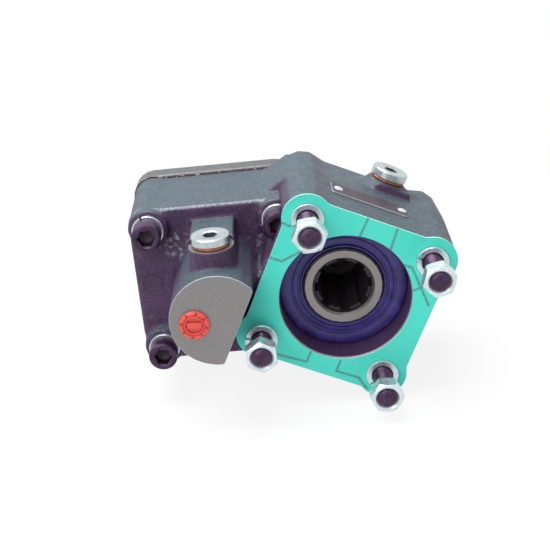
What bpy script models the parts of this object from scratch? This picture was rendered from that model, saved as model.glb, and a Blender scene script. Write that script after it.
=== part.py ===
"""Power take off unit for a truck gearbox, with a pneumatic shift and a four-stud pump flange.

Metres, +Z up.  The shafts run along Y: the gearbox is at +Y and the pump at -Y.
The origin lies on the gearbox face, straight below the input axis.
"""
import bmesh
import bpy
import math
from mathutils import Matrix

# Overall layout
INPUT_HEIGHT = 0.045
CENTRE_ANGLE = math.radians(-4.0)
FLANGE_TURN = math.radians(25.4)
UNIT_LENGTH = 0.107

# Clearances
SEAT_GAP = 0.0003
THREAD_GAP = 0.00015
SPIN_GAP = 0.0001
RUNNING_GAP = 0.0005

# Gears
MODULE = 0.0035
INPUT_TEETH = 24
OUTPUT_TEETH = 20
PRESSURE_ANGLE = math.radians(20)
BACKLASH = 0.0003
GEAR_WIDTH = 0.020
GEAR_BACK = -0.032
FLANK_STEPS = 2
CENTRE_DISTANCE = MODULE * (INPUT_TEETH + OUTPUT_TEETH) / 2

# Gearbox plate and the block that carries the input gear
PLATE_THICKNESS = 0.014
PLATE_MARGIN = 0.0143
PLATE_CORNER = 0.014
PLATE_BOSS_DEPTH = 0.0075
PLATE_BOSS_WALL = 0.003
PLATE_EDGE = 0.0006
BLOCK_DEPTH = 0.060
BLOCK_MARGIN = 0.0126
BLOCK_FAR_SWELL = 0.0012
BLOCK_LOBE = 0.0139
BLOCK_FILLET = 0.010
BLOCK_DRAFT = 0.0012
BLOCK_EDGE = 0.0018
SCREW_PITCH = 0.080
BOSS_HEIGHT = 0.005
BOSS_RADIUS = 0.0137
BOSS_EDGE = 0.0006
CORE_OVERLAP = 0.004

# Pump flange and the body behind it
PUMP_PITCH = 0.080
PILOT_RADIUS = 0.040
GASKET_THICKNESS = 0.001
GASKET_PILOT_GAP = 0.0007
FLANGE_MARGIN = 0.0126
FLANGE_LOBE = 0.0154
FLANGE_FILLET = 0.006
PARTING_DEPTH = 0.050
PARTING_SWELL = 0.0013
BODY_BACK_DRAFT = 0.0012
BODY_EDGE = 0.003
LOBE_STEPS = 5
FILLET_STEPS = 1
WEB_FRONT = -0.065
WEB_START = 0.031
WEB_ROOT_DEPTH = 0.031
WEB_ROOT_SHIFT = 0.010

# Piston boss in front of the block
PISTON_BOSS_WALL = 0.0065
FRONT_WALL = 0.0062
ROOT_FLARE = 0.006
ROOT_HEIGHT = 0.008
PUMP_CUT = 0.0585
PUMP_CUT_DEPTH = 0.0048
CHAMBER_FRONT = -0.098
TAIL_RADIUS = 0.008
PORT_X = -0.0135
PORT_DROP = 0.0008
PORT_RADIUS = 0.004
PORT_MOUTH_RADIUS = 0.0072
PORT_MOUTH_DEPTH = 0.010

# Shaft bearings, as outer radius, inner radius and width
INPUT_BEARING = (0.036, 0.025, 0.012)
OUTPUT_FRONT_BEARING = (0.040, 0.025, 0.010)
OUTPUT_BACK_BEARING = (0.0375, 0.0225, 0.010)
SHIFT_BEARING = (0.016, 0.0075, 0.009)
BEARING_SHIELD = 0.0006
SHOULDER_GAP = 0.001
LIP_WIDTH = 0.009
LIP_RADIUS = 0.032

# Output shaft and its seal
SHAFT_FRONT = -0.089
SPLINE_TEETH = 8
SPLINE_ROOT = 0.016
SPLINE_TIP = 0.018
SPLINE_KEY = 0.006
SPLINE_START = 0.004
SHAFT_COLLAR = 0.004
MOUTH_CHAMFER = 0.0015
SEAL_WIDTH = 0.008
SEAL_FRONT = -0.0875
RING_WIDTH = 0.002
RING_GROOVE = 0.0018
RING_HEIGHT = 0.004
RING_GAP = math.radians(30)
BORE_PLUG_WIDTH = 0.004

# Shift sleeve, piston and return spring
SLEEVE_ROOT = 0.016
SLEEVE_TIP = 0.019
SLEEVE_KEY = 0.0065
SLEEVE_GAP = 0.0002
SLEEVE_BACK = -0.020
SLEEVE_SPLINE = 0.043
STUB_TEETH = 6
STUB_ROOT = 0.0105
STUB_TIP = 0.0125
STUB_KEY = 0.005
STUB_DEPTH = 0.032
NECK_RADIUS = 0.011
SHIFT_STROKE = 0.010
PISTON_HEAD = 0.0065
PISTON_SKIRT_WALL = 0.002
SPRING_SPACE = 0.004
PISTON_GAP = 0.0002
PISTON_SEAL_WIDTH = 0.0028
PISTON_SEAL_DEPTH = 0.0025
SPRING_WIRE = 0.0011
SPRING_TURNS = 3.4
SPRING_SEAT_WIDTH = 0.002
TAIL_GROOVE = 0.0012
TAIL_CLEARANCE = 0.001
TAIL_END = 0.0025

# Fasteners
STUD_RADIUS = 0.006
STUD_REACH = 0.033
STUD_ROOT = 0.018
NUT_FLATS = 0.018
NUT_HEIGHT = 0.010
NUT_TURNS = (28.6, 22.0, 2.0, 40.0)
WASHER_RADIUS = 0.0098
WASHER_BORE = 0.0064
WASHER_HEIGHT = 0.0025
WASHER_SPLIT = math.radians(9)
WASHER_TURNS = (-44.0, 0.0, -10.0, -60.0)
WASHER_LIFT = 0.006
HEAD_RADIUS = 0.009
HEAD_HEIGHT = 0.012
HEAD_FLATS = 0.010
HEAD_SOCKET = 0.006
SCREW_HOLE = 0.0067
SCREW_REACH = 0.020
POCKET_MARGIN = 0.0016
POCKET_DEPTH = 0.0165
TAPPED_HOLE = 0.0052
TAPPED_DEPTH = 0.022

# Screw plugs, shared by the indicator port and the filler
PLUG_COLLAR = 0.0117
PLUG_COLLAR_HEIGHT = 0.005
PLUG_FLATS = 0.008
PLUG_SOCKET = 0.0045
PLUG_THREAD = 0.009
PLUG_THREAD_LENGTH = 0.011
PLUG_WASHER = 0.0114
PLUG_WASHER_HEIGHT = 0.0015
PLUG_BOSS = 0.0134
PLUG_BOSS_DRAFT = 0.0006
PLUG_TAP_EXTRA = 0.002
INDICATOR_LEAD = 0.0128
INDICATOR_SEAT = 0.0385
INDICATOR_PAD = 0.0034
SPOT_MARGIN = 0.0004
INDICATOR_PIN_RADIUS = 0.003
FILLER_INSET = 0.0292
FILLER_Y = -0.0362
FILLER_BOSS_HEIGHT = 0.0045
FILLER_FACE = 0.0128
FILLER_FACE_SHIFT = 0.0037
FILLER_FACE_TOP = 0.0117
FILLER_FACE_FOOT = 0.0137
FILLER_FLARE = 0.0038
FILLER_NECK = 0.0015
FILLER_DRILL = 0.0243

# Nameplate
PLATE_LABEL_SPARE = 0.0298
PLATE_LABEL_WIDTH = 0.0165
PLATE_LABEL_THICKNESS = 0.0008
PLATE_LABEL_U = -0.0028
PLATE_LABEL_Y = -0.0743
PIN_RADIUS = 0.0015
PIN_HEAD = 0.003
PIN_HEAD_HEIGHT = 0.0012
PIN_LENGTH = 0.004
PIN_INSET = 0.004

# Transit cap of the air port
CAP_RADIUS = 0.009
CAP_FLANGE = 0.0018
CAP_RECESS = 0.005
CAP_LENGTH = 0.008
CAP_WALL = 0.0012

FINE = 26
MIDDLE = 16
SMALL = 12
TINY = 1e-9

# Sizes and places that follow from the sizes above
PLATE_HALF_WIDTH = SCREW_PITCH / 2 + PLATE_MARGIN
BLOCK_HALF_WIDTH = SCREW_PITCH / 2 + BLOCK_MARGIN
FLANGE_HALF_WIDTH = PUMP_PITCH / 2 + FLANGE_MARGIN
FILLER_U = PUMP_PITCH / 2 - FILLER_INSET
PISTON_SKIRT_RADIUS = SHIFT_BEARING[0] + PISTON_SKIRT_WALL
CHAMBER_RADIUS = PISTON_SKIRT_RADIUS + SPRING_SPACE
PISTON_BOSS_RADIUS = CHAMBER_RADIUS + PISTON_BOSS_WALL
PISTON_BOSS_ROOT = PISTON_BOSS_RADIUS + ROOT_FLARE
INDICATOR_Y = CHAMBER_FRONT - INDICATOR_LEAD
TAIL_DIP_FRONT = INDICATOR_Y - SHIFT_STROKE - INDICATOR_PIN_RADIUS - TAIL_CLEARANCE
TAIL_FRONT = TAIL_DIP_FRONT - TAIL_END
TAIL_BORE_FRONT = TAIL_FRONT - TAIL_CLEARANCE
PISTON_BOSS_FRONT = TAIL_BORE_FRONT - FRONT_WALL
PLATE_LABEL_LENGTH = PUMP_PITCH - PLATE_LABEL_SPARE
OUTPUT_X = CENTRE_DISTANCE * math.cos(CENTRE_ANGLE)
OUTPUT_Z = INPUT_HEIGHT + CENTRE_DISTANCE * math.sin(CENTRE_ANGLE)
SEAM = -PLATE_THICKNESS
HOUSING_BACK = SEAM - SEAT_GAP
BLOCK_FRONT = SEAM - BLOCK_DEPTH
BOSS_FRONT = BLOCK_FRONT - BOSS_HEIGHT
GASKET_FRONT = -UNIT_LENGTH
PUMP_FACE = GASKET_FRONT + GASKET_THICKNESS
GEAR_FRONT = GEAR_BACK - GEAR_WIDTH
INPUT_FRONT_SEAT = GEAR_FRONT - SHOULDER_GAP - INPUT_BEARING[2] - 0.001
INPUT_BACK_SEAT = -LIP_WIDTH
OUTPUT_BACK_SEAT = GEAR_BACK + 0.002
SEAL_BACK = SEAL_FRONT + SEAL_WIDTH
OUTPUT_RING_BACK = SEAL_BACK + SEAT_GAP + RING_WIDTH
OUTPUT_FRONT_SEAT = OUTPUT_RING_BACK + 0.0002
GEAR_BORE = MODULE * (OUTPUT_TEETH + 2) / 2 + RUNNING_GAP
GEAR_CAVITY = MODULE * (INPUT_TEETH + 2) / 2 + 2 * RUNNING_GAP
CHAMBER_RING_BACK = INPUT_FRONT_SEAT - 0.0013
SPRING_SEAT_BACK = CHAMBER_RING_BACK - RING_WIDTH - SEAT_GAP
PISTON_FRONT = CHAMBER_FRONT + RUNNING_GAP
PISTON_HEAD_BACK = PISTON_FRONT + PISTON_HEAD
SHIFT_BEARING_FRONT = PISTON_HEAD_BACK + 0.0015
SHIFT_BEARING_BACK = SHIFT_BEARING_FRONT + SHIFT_BEARING[2]
SLEEVE_SHOULDER = SLEEVE_BACK - SLEEVE_SPLINE


def material(name, colour, roughness, metallic):
    """A Principled BSDF surface."""
    made = bpy.data.materials.new(name)
    made.use_nodes = True
    shader = made.node_tree.nodes["Principled BSDF"]
    shader.inputs["Base Color"].default_value = (*colour, 1)
    shader.inputs["Roughness"].default_value = roughness
    shader.inputs["Metallic"].default_value = metallic
    return made


def arc(centre_x, centre_z, radius, start, end, steps):
    """Points along a circle in the XZ plane, both ends included."""
    angles = [start + (end - start) * i / steps for i in range(steps + 1)]
    return [(centre_x + radius * math.cos(a), centre_z + radius * math.sin(a)) for a in angles]


def four_corners(corner):
    """Repeat one corner of an outline round the square."""
    outline = []
    for _ in range(4):
        outline += corner
        corner = [(-z, x) for x, z in corner]
    return outline


def lobed_square(pitch, lobe, half_width, fillet):
    """A square with a round lobe about each hole and a fillet where lobe and side meet."""
    centre = pitch / 2
    drop = half_width + fillet - centre
    reach = math.sqrt((lobe + fillet) ** 2 - drop ** 2)
    beta = math.atan2(drop, reach)
    quarter = math.pi / 2
    corner = arc(centre + drop, centre - reach, fillet, math.pi, quarter + beta, FILLET_STEPS)[:-1]
    corner += arc(centre, centre, lobe, beta - quarter, math.pi - beta, LOBE_STEPS)
    corner += arc(centre - reach, centre + drop, fillet, -beta, -quarter, FILLET_STEPS)[1:]
    return four_corners(corner)


def rounded_square(half_width, radius, steps):
    """A square with round corners."""
    centre = half_width - radius
    return four_corners(arc(centre, centre, radius, 0, math.pi / 2, steps))


def hexagon(flats):
    """A hexagon by its width across flats."""
    return arc(0, 0, flats / math.sqrt(3), 0, math.tau * 5 / 6, 5)


def clear_radius(radius, segments):
    """The corner radius of a faceted hole whose flats still clear the given radius."""
    return radius / math.cos(math.pi / segments)


def spline_outline(teeth, root, tip, key):
    """Straight-sided splines: keys of one width that rise from the root to the tip circle."""
    outline = []
    for tooth in range(teeth):
        middle = math.tau * tooth / teeth
        low = math.asin(key / 2 / root)
        high = math.asin(key / 2 / tip)
        next_low = middle + math.tau / teeth - low
        outline += [(root * math.cos(middle - low), root * math.sin(middle - low))]
        outline += arc(0, 0, tip, middle - high, middle + high, 2)
        outline += arc(0, 0, root, middle + low, next_low, 3)[:-1]
    return outline


def gear_outline(teeth, phase):
    """An involute spur gear with one tooth centred on the angle phase."""
    pitch = MODULE * teeth / 2
    base = pitch * math.cos(PRESSURE_ANGLE)
    tip = pitch + MODULE
    root = pitch - 1.25 * MODULE

    def involute(radius):
        angle = math.acos(min(1.0, base / radius))
        return math.tan(angle) - angle

    half_tooth = math.pi / 2 / teeth - BACKLASH / 2 / pitch + involute(pitch)
    start = max(root, base)
    radii = [start + (tip - start) * i / FLANK_STEPS for i in range(FLANK_STEPS + 1)]
    flank = [(radius, half_tooth - involute(radius)) for radius in radii]
    flank = [(root, half_tooth)] + flank
    outline = []
    for tooth in range(teeth):
        middle = phase + math.tau * tooth / teeth
        for radius, half in flank:
            outline.append((radius * math.cos(middle - half), radius * math.sin(middle - half)))
        for radius, half in reversed(flank):
            outline.append((radius * math.cos(middle + half), radius * math.sin(middle + half)))
    return outline


def to_mesh(bm, name):
    """Turn a bmesh into a mesh with its faces pointing out."""
    bmesh.ops.recalc_face_normals(bm, faces=bm.faces)
    mesh = bpy.data.meshes.new(name)
    bm.to_mesh(mesh)
    bm.free()
    return mesh


def lathe(profile, segments=FINE, start=0.0, sweep=math.tau):
    """Turn a closed (radius, y) profile about the Y axis, fully or over a part of the turn."""
    bm = bmesh.new()
    full = sweep > math.tau - TINY
    count = segments if full else segments + 1
    angles = [start + sweep * i / segments for i in range(count)]
    rings = []
    for radius, y in profile:
        if radius < TINY:
            rings.append([bm.verts.new((0, y, 0))] * count)
        else:
            rings.append([bm.verts.new((radius * math.cos(a), y, radius * math.sin(a))) for a in angles])
    for ring, following in zip(rings, rings[1:] + rings[:1]):
        for i in range(segments):
            j = (i + 1) % count
            corners = list(dict.fromkeys((ring[i], ring[j], following[j], following[i])))
            if len(corners) > 2:
                bm.faces.new(corners)
    if not full:
        bm.faces.new([ring[0] for ring in rings])
        bm.faces.new([ring[-1] for ring in rings])
    return to_mesh(bm, "turned")


def loft(sections):
    """Join outlines of one point count, given as (outline, y), into a closed solid."""
    bm = bmesh.new()
    rings = [[bm.verts.new((x, y, z)) for x, z in outline] for outline, y in sections]
    for ring, following in zip(rings, rings[1:]):
        for i in range(len(ring)):
            j = (i + 1) % len(ring)
            bm.faces.new((ring[i], ring[j], following[j], following[i]))
    bm.faces.new(rings[0])
    bm.faces.new(rings[-1])
    return to_mesh(bm, "lofted")


def prism(outline, front, back):
    """Extrude one outline along Y."""
    return loft([(outline, front), (outline, back)])


def tube(radius, front, back, segments=FINE):
    """A plain round bar along Y."""
    return lathe([(0, front), (radius, front), (radius, back), (0, back)], segments)


def moved(mesh, matrix):
    """Place a mesh and hand it back."""
    mesh.transform(matrix)
    return mesh


def at_input():
    """The frame of the input axis."""
    return Matrix.Translation((0, 0, INPUT_HEIGHT))


def at_output():
    """The frame of the output axis."""
    return Matrix.Translation((OUTPUT_X, 0, OUTPUT_Z))


def at_flange():
    """The frame of the pump flange, which is turned about the output axis."""
    return at_output() @ Matrix.Rotation(FLANGE_TURN, 4, "Y")


def upright():
    """Turn a piece made along Y so that it stands along Z."""
    return Matrix.Rotation(math.pi / 2, 4, "X")


def boolean(target, tool, operation):
    """Join or cut one mesh with another by an exact Boolean."""
    body = bpy.data.objects.new("body", target)
    helper = bpy.data.objects.new("helper", tool)
    for item in (body, helper):
        bpy.context.scene.collection.objects.link(item)
    modifier = body.modifiers.new("boolean", "BOOLEAN")
    modifier.operation = operation
    modifier.solver = "EXACT"
    modifier.object = helper
    graph = bpy.context.evaluated_depsgraph_get()
    result = bpy.data.meshes.new_from_object(body.evaluated_get(graph))
    for item in (body, helper):
        bpy.data.objects.remove(item)
    return result


def cut(target, *tools):
    """Take each tool out of the target."""
    for tool in tools:
        target = boolean(target, tool, "DIFFERENCE")
    return target


def join(target, *tools):
    """Fuse each tool with the target."""
    for tool in tools:
        target = boolean(target, tool, "UNION")
    return target


def piece(name, mesh, surface, matrix=None):
    """Put a mesh into the scene as a named piece."""
    item = bpy.data.objects.new(name, mesh)
    if not mesh.materials:
        mesh.materials.append(surface)
        mesh.shade_smooth()
        mesh.set_sharp_from_angle(angle=math.radians(32))
    if matrix is not None:
        item.matrix_world = matrix
    bpy.context.scene.collection.objects.link(item)
    return item


def square_places(pitch):
    """The four holes of a square pattern: top left, top right, bottom left and bottom right."""
    half = pitch / 2
    return [(-half, half), (half, half), (-half, -half), (half, -half)]


def block_mesh():
    """The cast block round the input gear, with its four screw bosses."""
    def section(offset):
        wall = offset - BLOCK_HALF_WIDTH
        outline = lobed_square(SCREW_PITCH, BLOCK_LOBE - offset, -wall, BLOCK_FILLET)
        return [(x - BLOCK_FAR_SWELL, z) if abs(x - wall) < TINY else (x, z) for x, z in outline]

    block = loft([
        (section(BLOCK_DRAFT + BLOCK_EDGE), BLOCK_FRONT),
        (section(BLOCK_DRAFT), BLOCK_FRONT + BLOCK_EDGE),
        (section(0), HOUSING_BACK),
    ])
    for x, z in square_places(SCREW_PITCH):
        boss = lathe([
            (0, BOSS_FRONT), (BOSS_RADIUS - BLOCK_DRAFT - BOSS_EDGE, BOSS_FRONT),
            (BOSS_RADIUS - BLOCK_DRAFT, BOSS_FRONT + BOSS_EDGE),
            (BOSS_RADIUS - BLOCK_DRAFT / 2, BLOCK_FRONT + CORE_OVERLAP), (0, BLOCK_FRONT + CORE_OVERLAP),
        ], MIDDLE)
        block = join(block, moved(boss, Matrix.Translation((x, 0, z))))
    return moved(block, at_input())


def piston_boss_mesh():
    """The cylinder boss with its flared root, the plug boss on top and the pump clearance."""
    boss = lathe([
        (0, PISTON_BOSS_FRONT), (PISTON_BOSS_RADIUS - 0.0005, PISTON_BOSS_FRONT),
        (PISTON_BOSS_RADIUS, PISTON_BOSS_FRONT + 0.0005),
        (PISTON_BOSS_RADIUS, BLOCK_FRONT - ROOT_HEIGHT),
        (PISTON_BOSS_RADIUS + ROOT_FLARE * 0.3, BLOCK_FRONT - ROOT_HEIGHT * 0.4),
        (PISTON_BOSS_ROOT, BLOCK_FRONT + 0.001), (0, BLOCK_FRONT + 0.001),
    ])
    boss = moved(boss, at_input())
    depth = BLOCK_FRONT + 0.002 - INDICATOR_Y
    outline = arc(0, 0, PLUG_BOSS, math.pi, math.tau, 10)
    outline += [(PLUG_BOSS, depth), (-PLUG_BOSS, depth)]
    lower = [(x * (1 + PLUG_BOSS_DRAFT / PLUG_BOSS), z) for x, z in outline]
    pad = INDICATOR_SEAT + INDICATOR_PAD
    plug_boss = loft([(lower, CORE_OVERLAP), (outline, pad)])
    stand = Matrix.Translation((0, INDICATOR_Y, INPUT_HEIGHT)) @ upright() @ Matrix.Scale(-1, 4, (0, 0, 1))
    plug_boss = moved(plug_boss, stand)
    plug_boss.flip_normals()
    boss = join(boss, plug_boss)
    spot = tube(PLUG_BOSS + SPOT_MARGIN, INDICATOR_SEAT, pad + 0.001, MIDDLE)
    boss = cut(boss, moved(spot, Matrix.Translation((0, INDICATOR_Y, INPUT_HEIGHT)) @ upright()))
    clearance = PUMP_FACE + PUMP_CUT_DEPTH
    corners = [(-PUMP_CUT, -PUMP_PITCH), (0, -PUMP_PITCH), (0, PUMP_PITCH), (-PUMP_CUT, PUMP_PITCH)]
    return cut(boss, moved(prism(corners, PISTON_BOSS_FRONT - ROOT_HEIGHT, clearance), at_flange()))


def flange_section(offset):
    """The outline of the pump flange, moved outwards by an offset."""
    return lobed_square(PUMP_PITCH, FLANGE_LOBE + offset, FLANGE_HALF_WIDTH + offset, FLANGE_FILLET)


def pump_body_mesh():
    """The body behind the pump flange: it swells to the parting line and tapers behind it."""
    body = loft([
        (flange_section(0), PUMP_FACE),
        (flange_section(PARTING_SWELL), PUMP_FACE + PARTING_DEPTH),
        (flange_section(PARTING_SWELL - BODY_BACK_DRAFT), HOUSING_BACK - BODY_EDGE),
        (flange_section(PARTING_SWELL - BODY_BACK_DRAFT - BODY_EDGE * 0.8), HOUSING_BACK),
    ])
    return moved(body, at_flange())


def web_mesh():
    """The web that runs from the top of the block up to the nearest flange lobe."""
    half = PUMP_PITCH / 2
    radius = FLANGE_LOBE + PARTING_SWELL
    lobe = at_flange() @ Matrix.Translation((-half, 0, half))
    centre_x = lobe.translation.x
    centre_z = lobe.translation.z - INPUT_HEIGHT
    start_z = BLOCK_HALF_WIDTH - BLOCK_DRAFT
    away = math.hypot(centre_x - WEB_START, centre_z - start_z)
    slope = math.atan2(centre_z - start_z, centre_x - WEB_START) + math.asin(radius / away)
    touch_x = centre_x - radius * math.sin(slope)
    touch_z = centre_z + radius * math.cos(slope)
    root = (WEB_START + WEB_ROOT_SHIFT, start_z - WEB_ROOT_DEPTH)
    outline = [(WEB_START, start_z), (touch_x, touch_z), (centre_x, centre_z), root]
    return moved(prism(outline, WEB_FRONT, HOUSING_BACK - BODY_EDGE), at_input())


def filler_frame():
    """The frame of the filler plug: its Y axis is the plug's own axis, out of the casting."""
    lift = Matrix.Translation((FILLER_U, FILLER_Y, FLANGE_HALF_WIDTH))
    return at_flange() @ lift @ upright()


def filler_boss_mesh():
    """The boss under the filler plug: a flared neck and a block with a flat front."""
    top = PARTING_SWELL + FILLER_BOSS_HEIGHT
    foot = -CORE_OVERLAP

    def section(half):
        middle = FILLER_FACE_SHIFT
        return [(middle - half, 0), (middle + half, 0), (middle + half, FILLER_FACE), (middle - half, FILLER_FACE)]

    block = loft([(section(FILLER_FACE_FOOT), foot), (section(FILLER_FACE_TOP), top)])
    neck = lathe([
        (0, foot), (PLUG_BOSS + FILLER_FLARE, foot), (PLUG_BOSS + FILLER_FLARE, PARTING_SWELL),
        (PLUG_BOSS + FILLER_FLARE * 0.3, PARTING_SWELL + FILLER_BOSS_HEIGHT * 0.4),
        (PLUG_BOSS - FILLER_NECK * 0.5, top), (PLUG_WASHER + BOSS_EDGE, top + FILLER_NECK),
        (0, top + FILLER_NECK),
    ], MIDDLE)
    reach = 2 * PLUG_BOSS
    front = [(-reach, FILLER_FACE), (reach, FILLER_FACE), (reach, reach), (-reach, reach)]
    neck = cut(neck, prism(front, foot - 0.001, top + FILLER_NECK + 0.001))
    return moved(join(block, neck), filler_frame())


def input_bore_meshes():
    """What is turned on the input axis: the piston chamber, then the bearing seat and gear space."""
    seat = INPUT_BEARING[0] + THREAD_GAP
    groove = clear_radius(CHAMBER_RADIUS + RING_GROOVE, MIDDLE)
    ring_front = CHAMBER_RING_BACK - RING_WIDTH - 0.0002
    ring_back = CHAMBER_RING_BACK + 0.0002
    chamber = lathe([
        (0, TAIL_BORE_FRONT), (TAIL_RADIUS + THREAD_GAP, TAIL_BORE_FRONT),
        (TAIL_RADIUS + THREAD_GAP, CHAMBER_FRONT), (CHAMBER_RADIUS, CHAMBER_FRONT),
        (CHAMBER_RADIUS, ring_front), (groove, ring_front), (groove, ring_back), (CHAMBER_RADIUS, ring_back),
        (CHAMBER_RADIUS, INPUT_FRONT_SEAT), (0, INPUT_FRONT_SEAT),
    ], MIDDLE)
    gear_space = lathe([
        (0, INPUT_FRONT_SEAT - SEAT_GAP), (seat, INPUT_FRONT_SEAT - SEAT_GAP),
        (seat, GEAR_FRONT - SHOULDER_GAP), (GEAR_CAVITY, GEAR_FRONT - SHOULDER_GAP),
        (GEAR_CAVITY, 0.001), (0, 0.001),
    ])
    return [moved(chamber, at_input()), moved(gear_space, at_input())]


def output_bore_mesh():
    """Everything turned on the output axis: pilot, seal and bearing seats and gear space."""
    pilot = PILOT_RADIUS + THREAD_GAP
    ring_front = OUTPUT_RING_BACK - RING_WIDTH - 0.0001
    ring_back = OUTPUT_RING_BACK + 0.0001
    groove = clear_radius(PILOT_RADIUS + RING_GROOVE, FINE)
    front_back = OUTPUT_FRONT_SEAT + OUTPUT_FRONT_BEARING[2] + SEAT_GAP
    back_seat = OUTPUT_BACK_BEARING[0] + THREAD_GAP
    back_end = OUTPUT_BACK_SEAT + OUTPUT_BACK_BEARING[2] + SEAT_GAP
    return moved(lathe([
        (0, PUMP_FACE - 0.001), (pilot + 0.002, PUMP_FACE - 0.001), (pilot, PUMP_FACE + 0.001),
        (pilot, ring_front), (groove, ring_front), (groove, ring_back), (pilot, ring_back),
        (pilot, front_back), (GEAR_BORE, front_back), (GEAR_BORE, GEAR_BACK + SHOULDER_GAP),
        (back_seat, GEAR_BACK + SHOULDER_GAP), (back_seat, back_end), (0, back_end),
    ]), at_output())


def screw_hole_meshes():
    """Three screw holes, the tapped hole behind the flange and the relief beside the upper right head."""
    places = [at_input() @ Matrix.Translation((x, 0, z)) for x, z in square_places(SCREW_PITCH)]
    tools = [moved(tube(SCREW_HOLE, BOSS_FRONT - 0.001, 0.001, SMALL), place) for place in places[:3]]
    tools.append(moved(tube(TAPPED_HOLE, SEAM - TAPPED_DEPTH, 0.001, SMALL), places[3]))
    relief = tube(WASHER_RADIUS + POCKET_MARGIN, BOSS_FRONT - POCKET_DEPTH, BOSS_FRONT, SMALL)
    tools.append(moved(relief, places[1]))
    return tools


def port_mesh():
    """The air port: a threaded mouth and a drilling into the piston chamber."""
    profile = [
        (0, PISTON_BOSS_FRONT - 0.001), (PORT_MOUTH_RADIUS, PISTON_BOSS_FRONT - 0.001),
        (PORT_MOUTH_RADIUS, PISTON_BOSS_FRONT + PORT_MOUTH_DEPTH),
        (PORT_RADIUS, PISTON_BOSS_FRONT + PORT_MOUTH_DEPTH + 0.002),
        (PORT_RADIUS, CHAMBER_FRONT + 0.001), (0, CHAMBER_FRONT + 0.001),
    ]
    return moved(lathe(profile, SMALL), at_input() @ Matrix.Translation((PORT_X, 0, -PORT_DROP)))


def plug_bore_mesh(seat, depth, pin_depth):
    """A tapped hole for a screw plug, along Y, with a small bore under it."""
    thread = PLUG_THREAD + THREAD_GAP
    pin = INDICATOR_PIN_RADIUS + THREAD_GAP
    return lathe([
        (0, seat + 0.001), (thread, seat + 0.001), (thread, seat - depth),
        (pin, seat - depth - 0.003), (pin, seat - pin_depth), (0, seat - pin_depth),
    ], MIDDLE)


def label_frame():
    """The frame of the nameplate, which lies on the drafted top of the body."""
    depth = PLATE_LABEL_Y - PUMP_FACE
    draft = math.atan2(PARTING_SWELL, PARTING_DEPTH)
    height = FLANGE_HALF_WIDTH + depth * PARTING_SWELL / PARTING_DEPTH
    lift = Matrix.Translation((PLATE_LABEL_U, PLATE_LABEL_Y, height))
    return at_flange() @ lift @ Matrix.Rotation(draft, 4, "X") @ upright()


def pin_places():
    """Where the two drive pins of the nameplate stand along its length."""
    reach = PLATE_LABEL_LENGTH / 2 - PIN_INSET
    return [-reach, reach]


def housing_mesh():
    """The casting with all its machined bores."""
    housing = join(block_mesh(), pump_body_mesh(), piston_boss_mesh(), web_mesh(), filler_boss_mesh())
    housing = cut(housing, *screw_hole_meshes())
    housing = cut(housing, *input_bore_meshes(), output_bore_mesh(), port_mesh())
    indicator = Matrix.Translation((0, INDICATOR_Y, INPUT_HEIGHT)) @ upright()
    depth = PLUG_THREAD_LENGTH + PLUG_TAP_EXTRA
    indicator_bore = plug_bore_mesh(INDICATOR_SEAT, depth, INDICATOR_SEAT)
    housing = cut(housing, moved(indicator_bore, indicator))
    filler_top = PARTING_SWELL + FILLER_BOSS_HEIGHT + FILLER_NECK
    filler_bore = plug_bore_mesh(filler_top, depth, FILLER_DRILL)
    housing = cut(housing, moved(filler_bore, filler_frame()))
    for x, z in square_places(PUMP_PITCH):
        hole = tube(STUD_RADIUS + THREAD_GAP, PUMP_FACE - 0.001, PUMP_FACE + STUD_ROOT + SEAT_GAP, SMALL)
        housing = cut(housing, moved(hole, at_flange() @ Matrix.Translation((x, 0, z))))
    for along in pin_places():
        hole = tube(PIN_RADIUS + THREAD_GAP, -PIN_LENGTH - SEAT_GAP, 0.001, 8)
        housing = cut(housing, moved(hole, label_frame() @ Matrix.Translation((along, 0, 0))))
    return housing


def back_plate_mesh():
    """The plate against the gearbox, with a boss that holds the rear input bearing."""
    outline = rounded_square(PLATE_HALF_WIDTH, PLATE_CORNER, 5)
    eased = rounded_square(PLATE_HALF_WIDTH - PLATE_EDGE, PLATE_CORNER, 5)
    plate = loft([(eased, SEAM), (outline, SEAM + PLATE_EDGE), (outline, -PLATE_EDGE), (eased, 0)])
    seat = INPUT_BEARING[0] + THREAD_GAP
    plate = join(plate, tube(seat + PLATE_BOSS_WALL, SEAM - PLATE_BOSS_DEPTH, SEAM + PLATE_EDGE))
    bore = lathe([
        (0, SEAM - PLATE_BOSS_DEPTH - 0.001), (seat, SEAM - PLATE_BOSS_DEPTH - 0.001),
        (seat, INPUT_BACK_SEAT + SEAT_GAP), (LIP_RADIUS, INPUT_BACK_SEAT + SEAT_GAP),
        (LIP_RADIUS, 0.001), (0, 0.001),
    ])
    plate = cut(plate, bore)
    for x, z in square_places(SCREW_PITCH):
        hole = tube(SCREW_HOLE, SEAM - 0.001, 0.001, SMALL)
        plate = cut(plate, moved(hole, Matrix.Translation((x, 0, z))))
    return plate


def gasket_mesh():
    """The flat gasket between the flange and the pump."""
    gasket = prism(flange_section(0), GASKET_FRONT, PUMP_FACE - SEAT_GAP / 2)
    gasket = cut(gasket, tube(PILOT_RADIUS + GASKET_PILOT_GAP, GASKET_FRONT - 0.001, PUMP_FACE + 0.001))
    for x, z in square_places(PUMP_PITCH):
        hole = tube(STUD_RADIUS + 0.0008, GASKET_FRONT - 0.001, PUMP_FACE + 0.001, SMALL)
        gasket = cut(gasket, moved(hole, Matrix.Translation((x, 0, z))))
    return gasket


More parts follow.
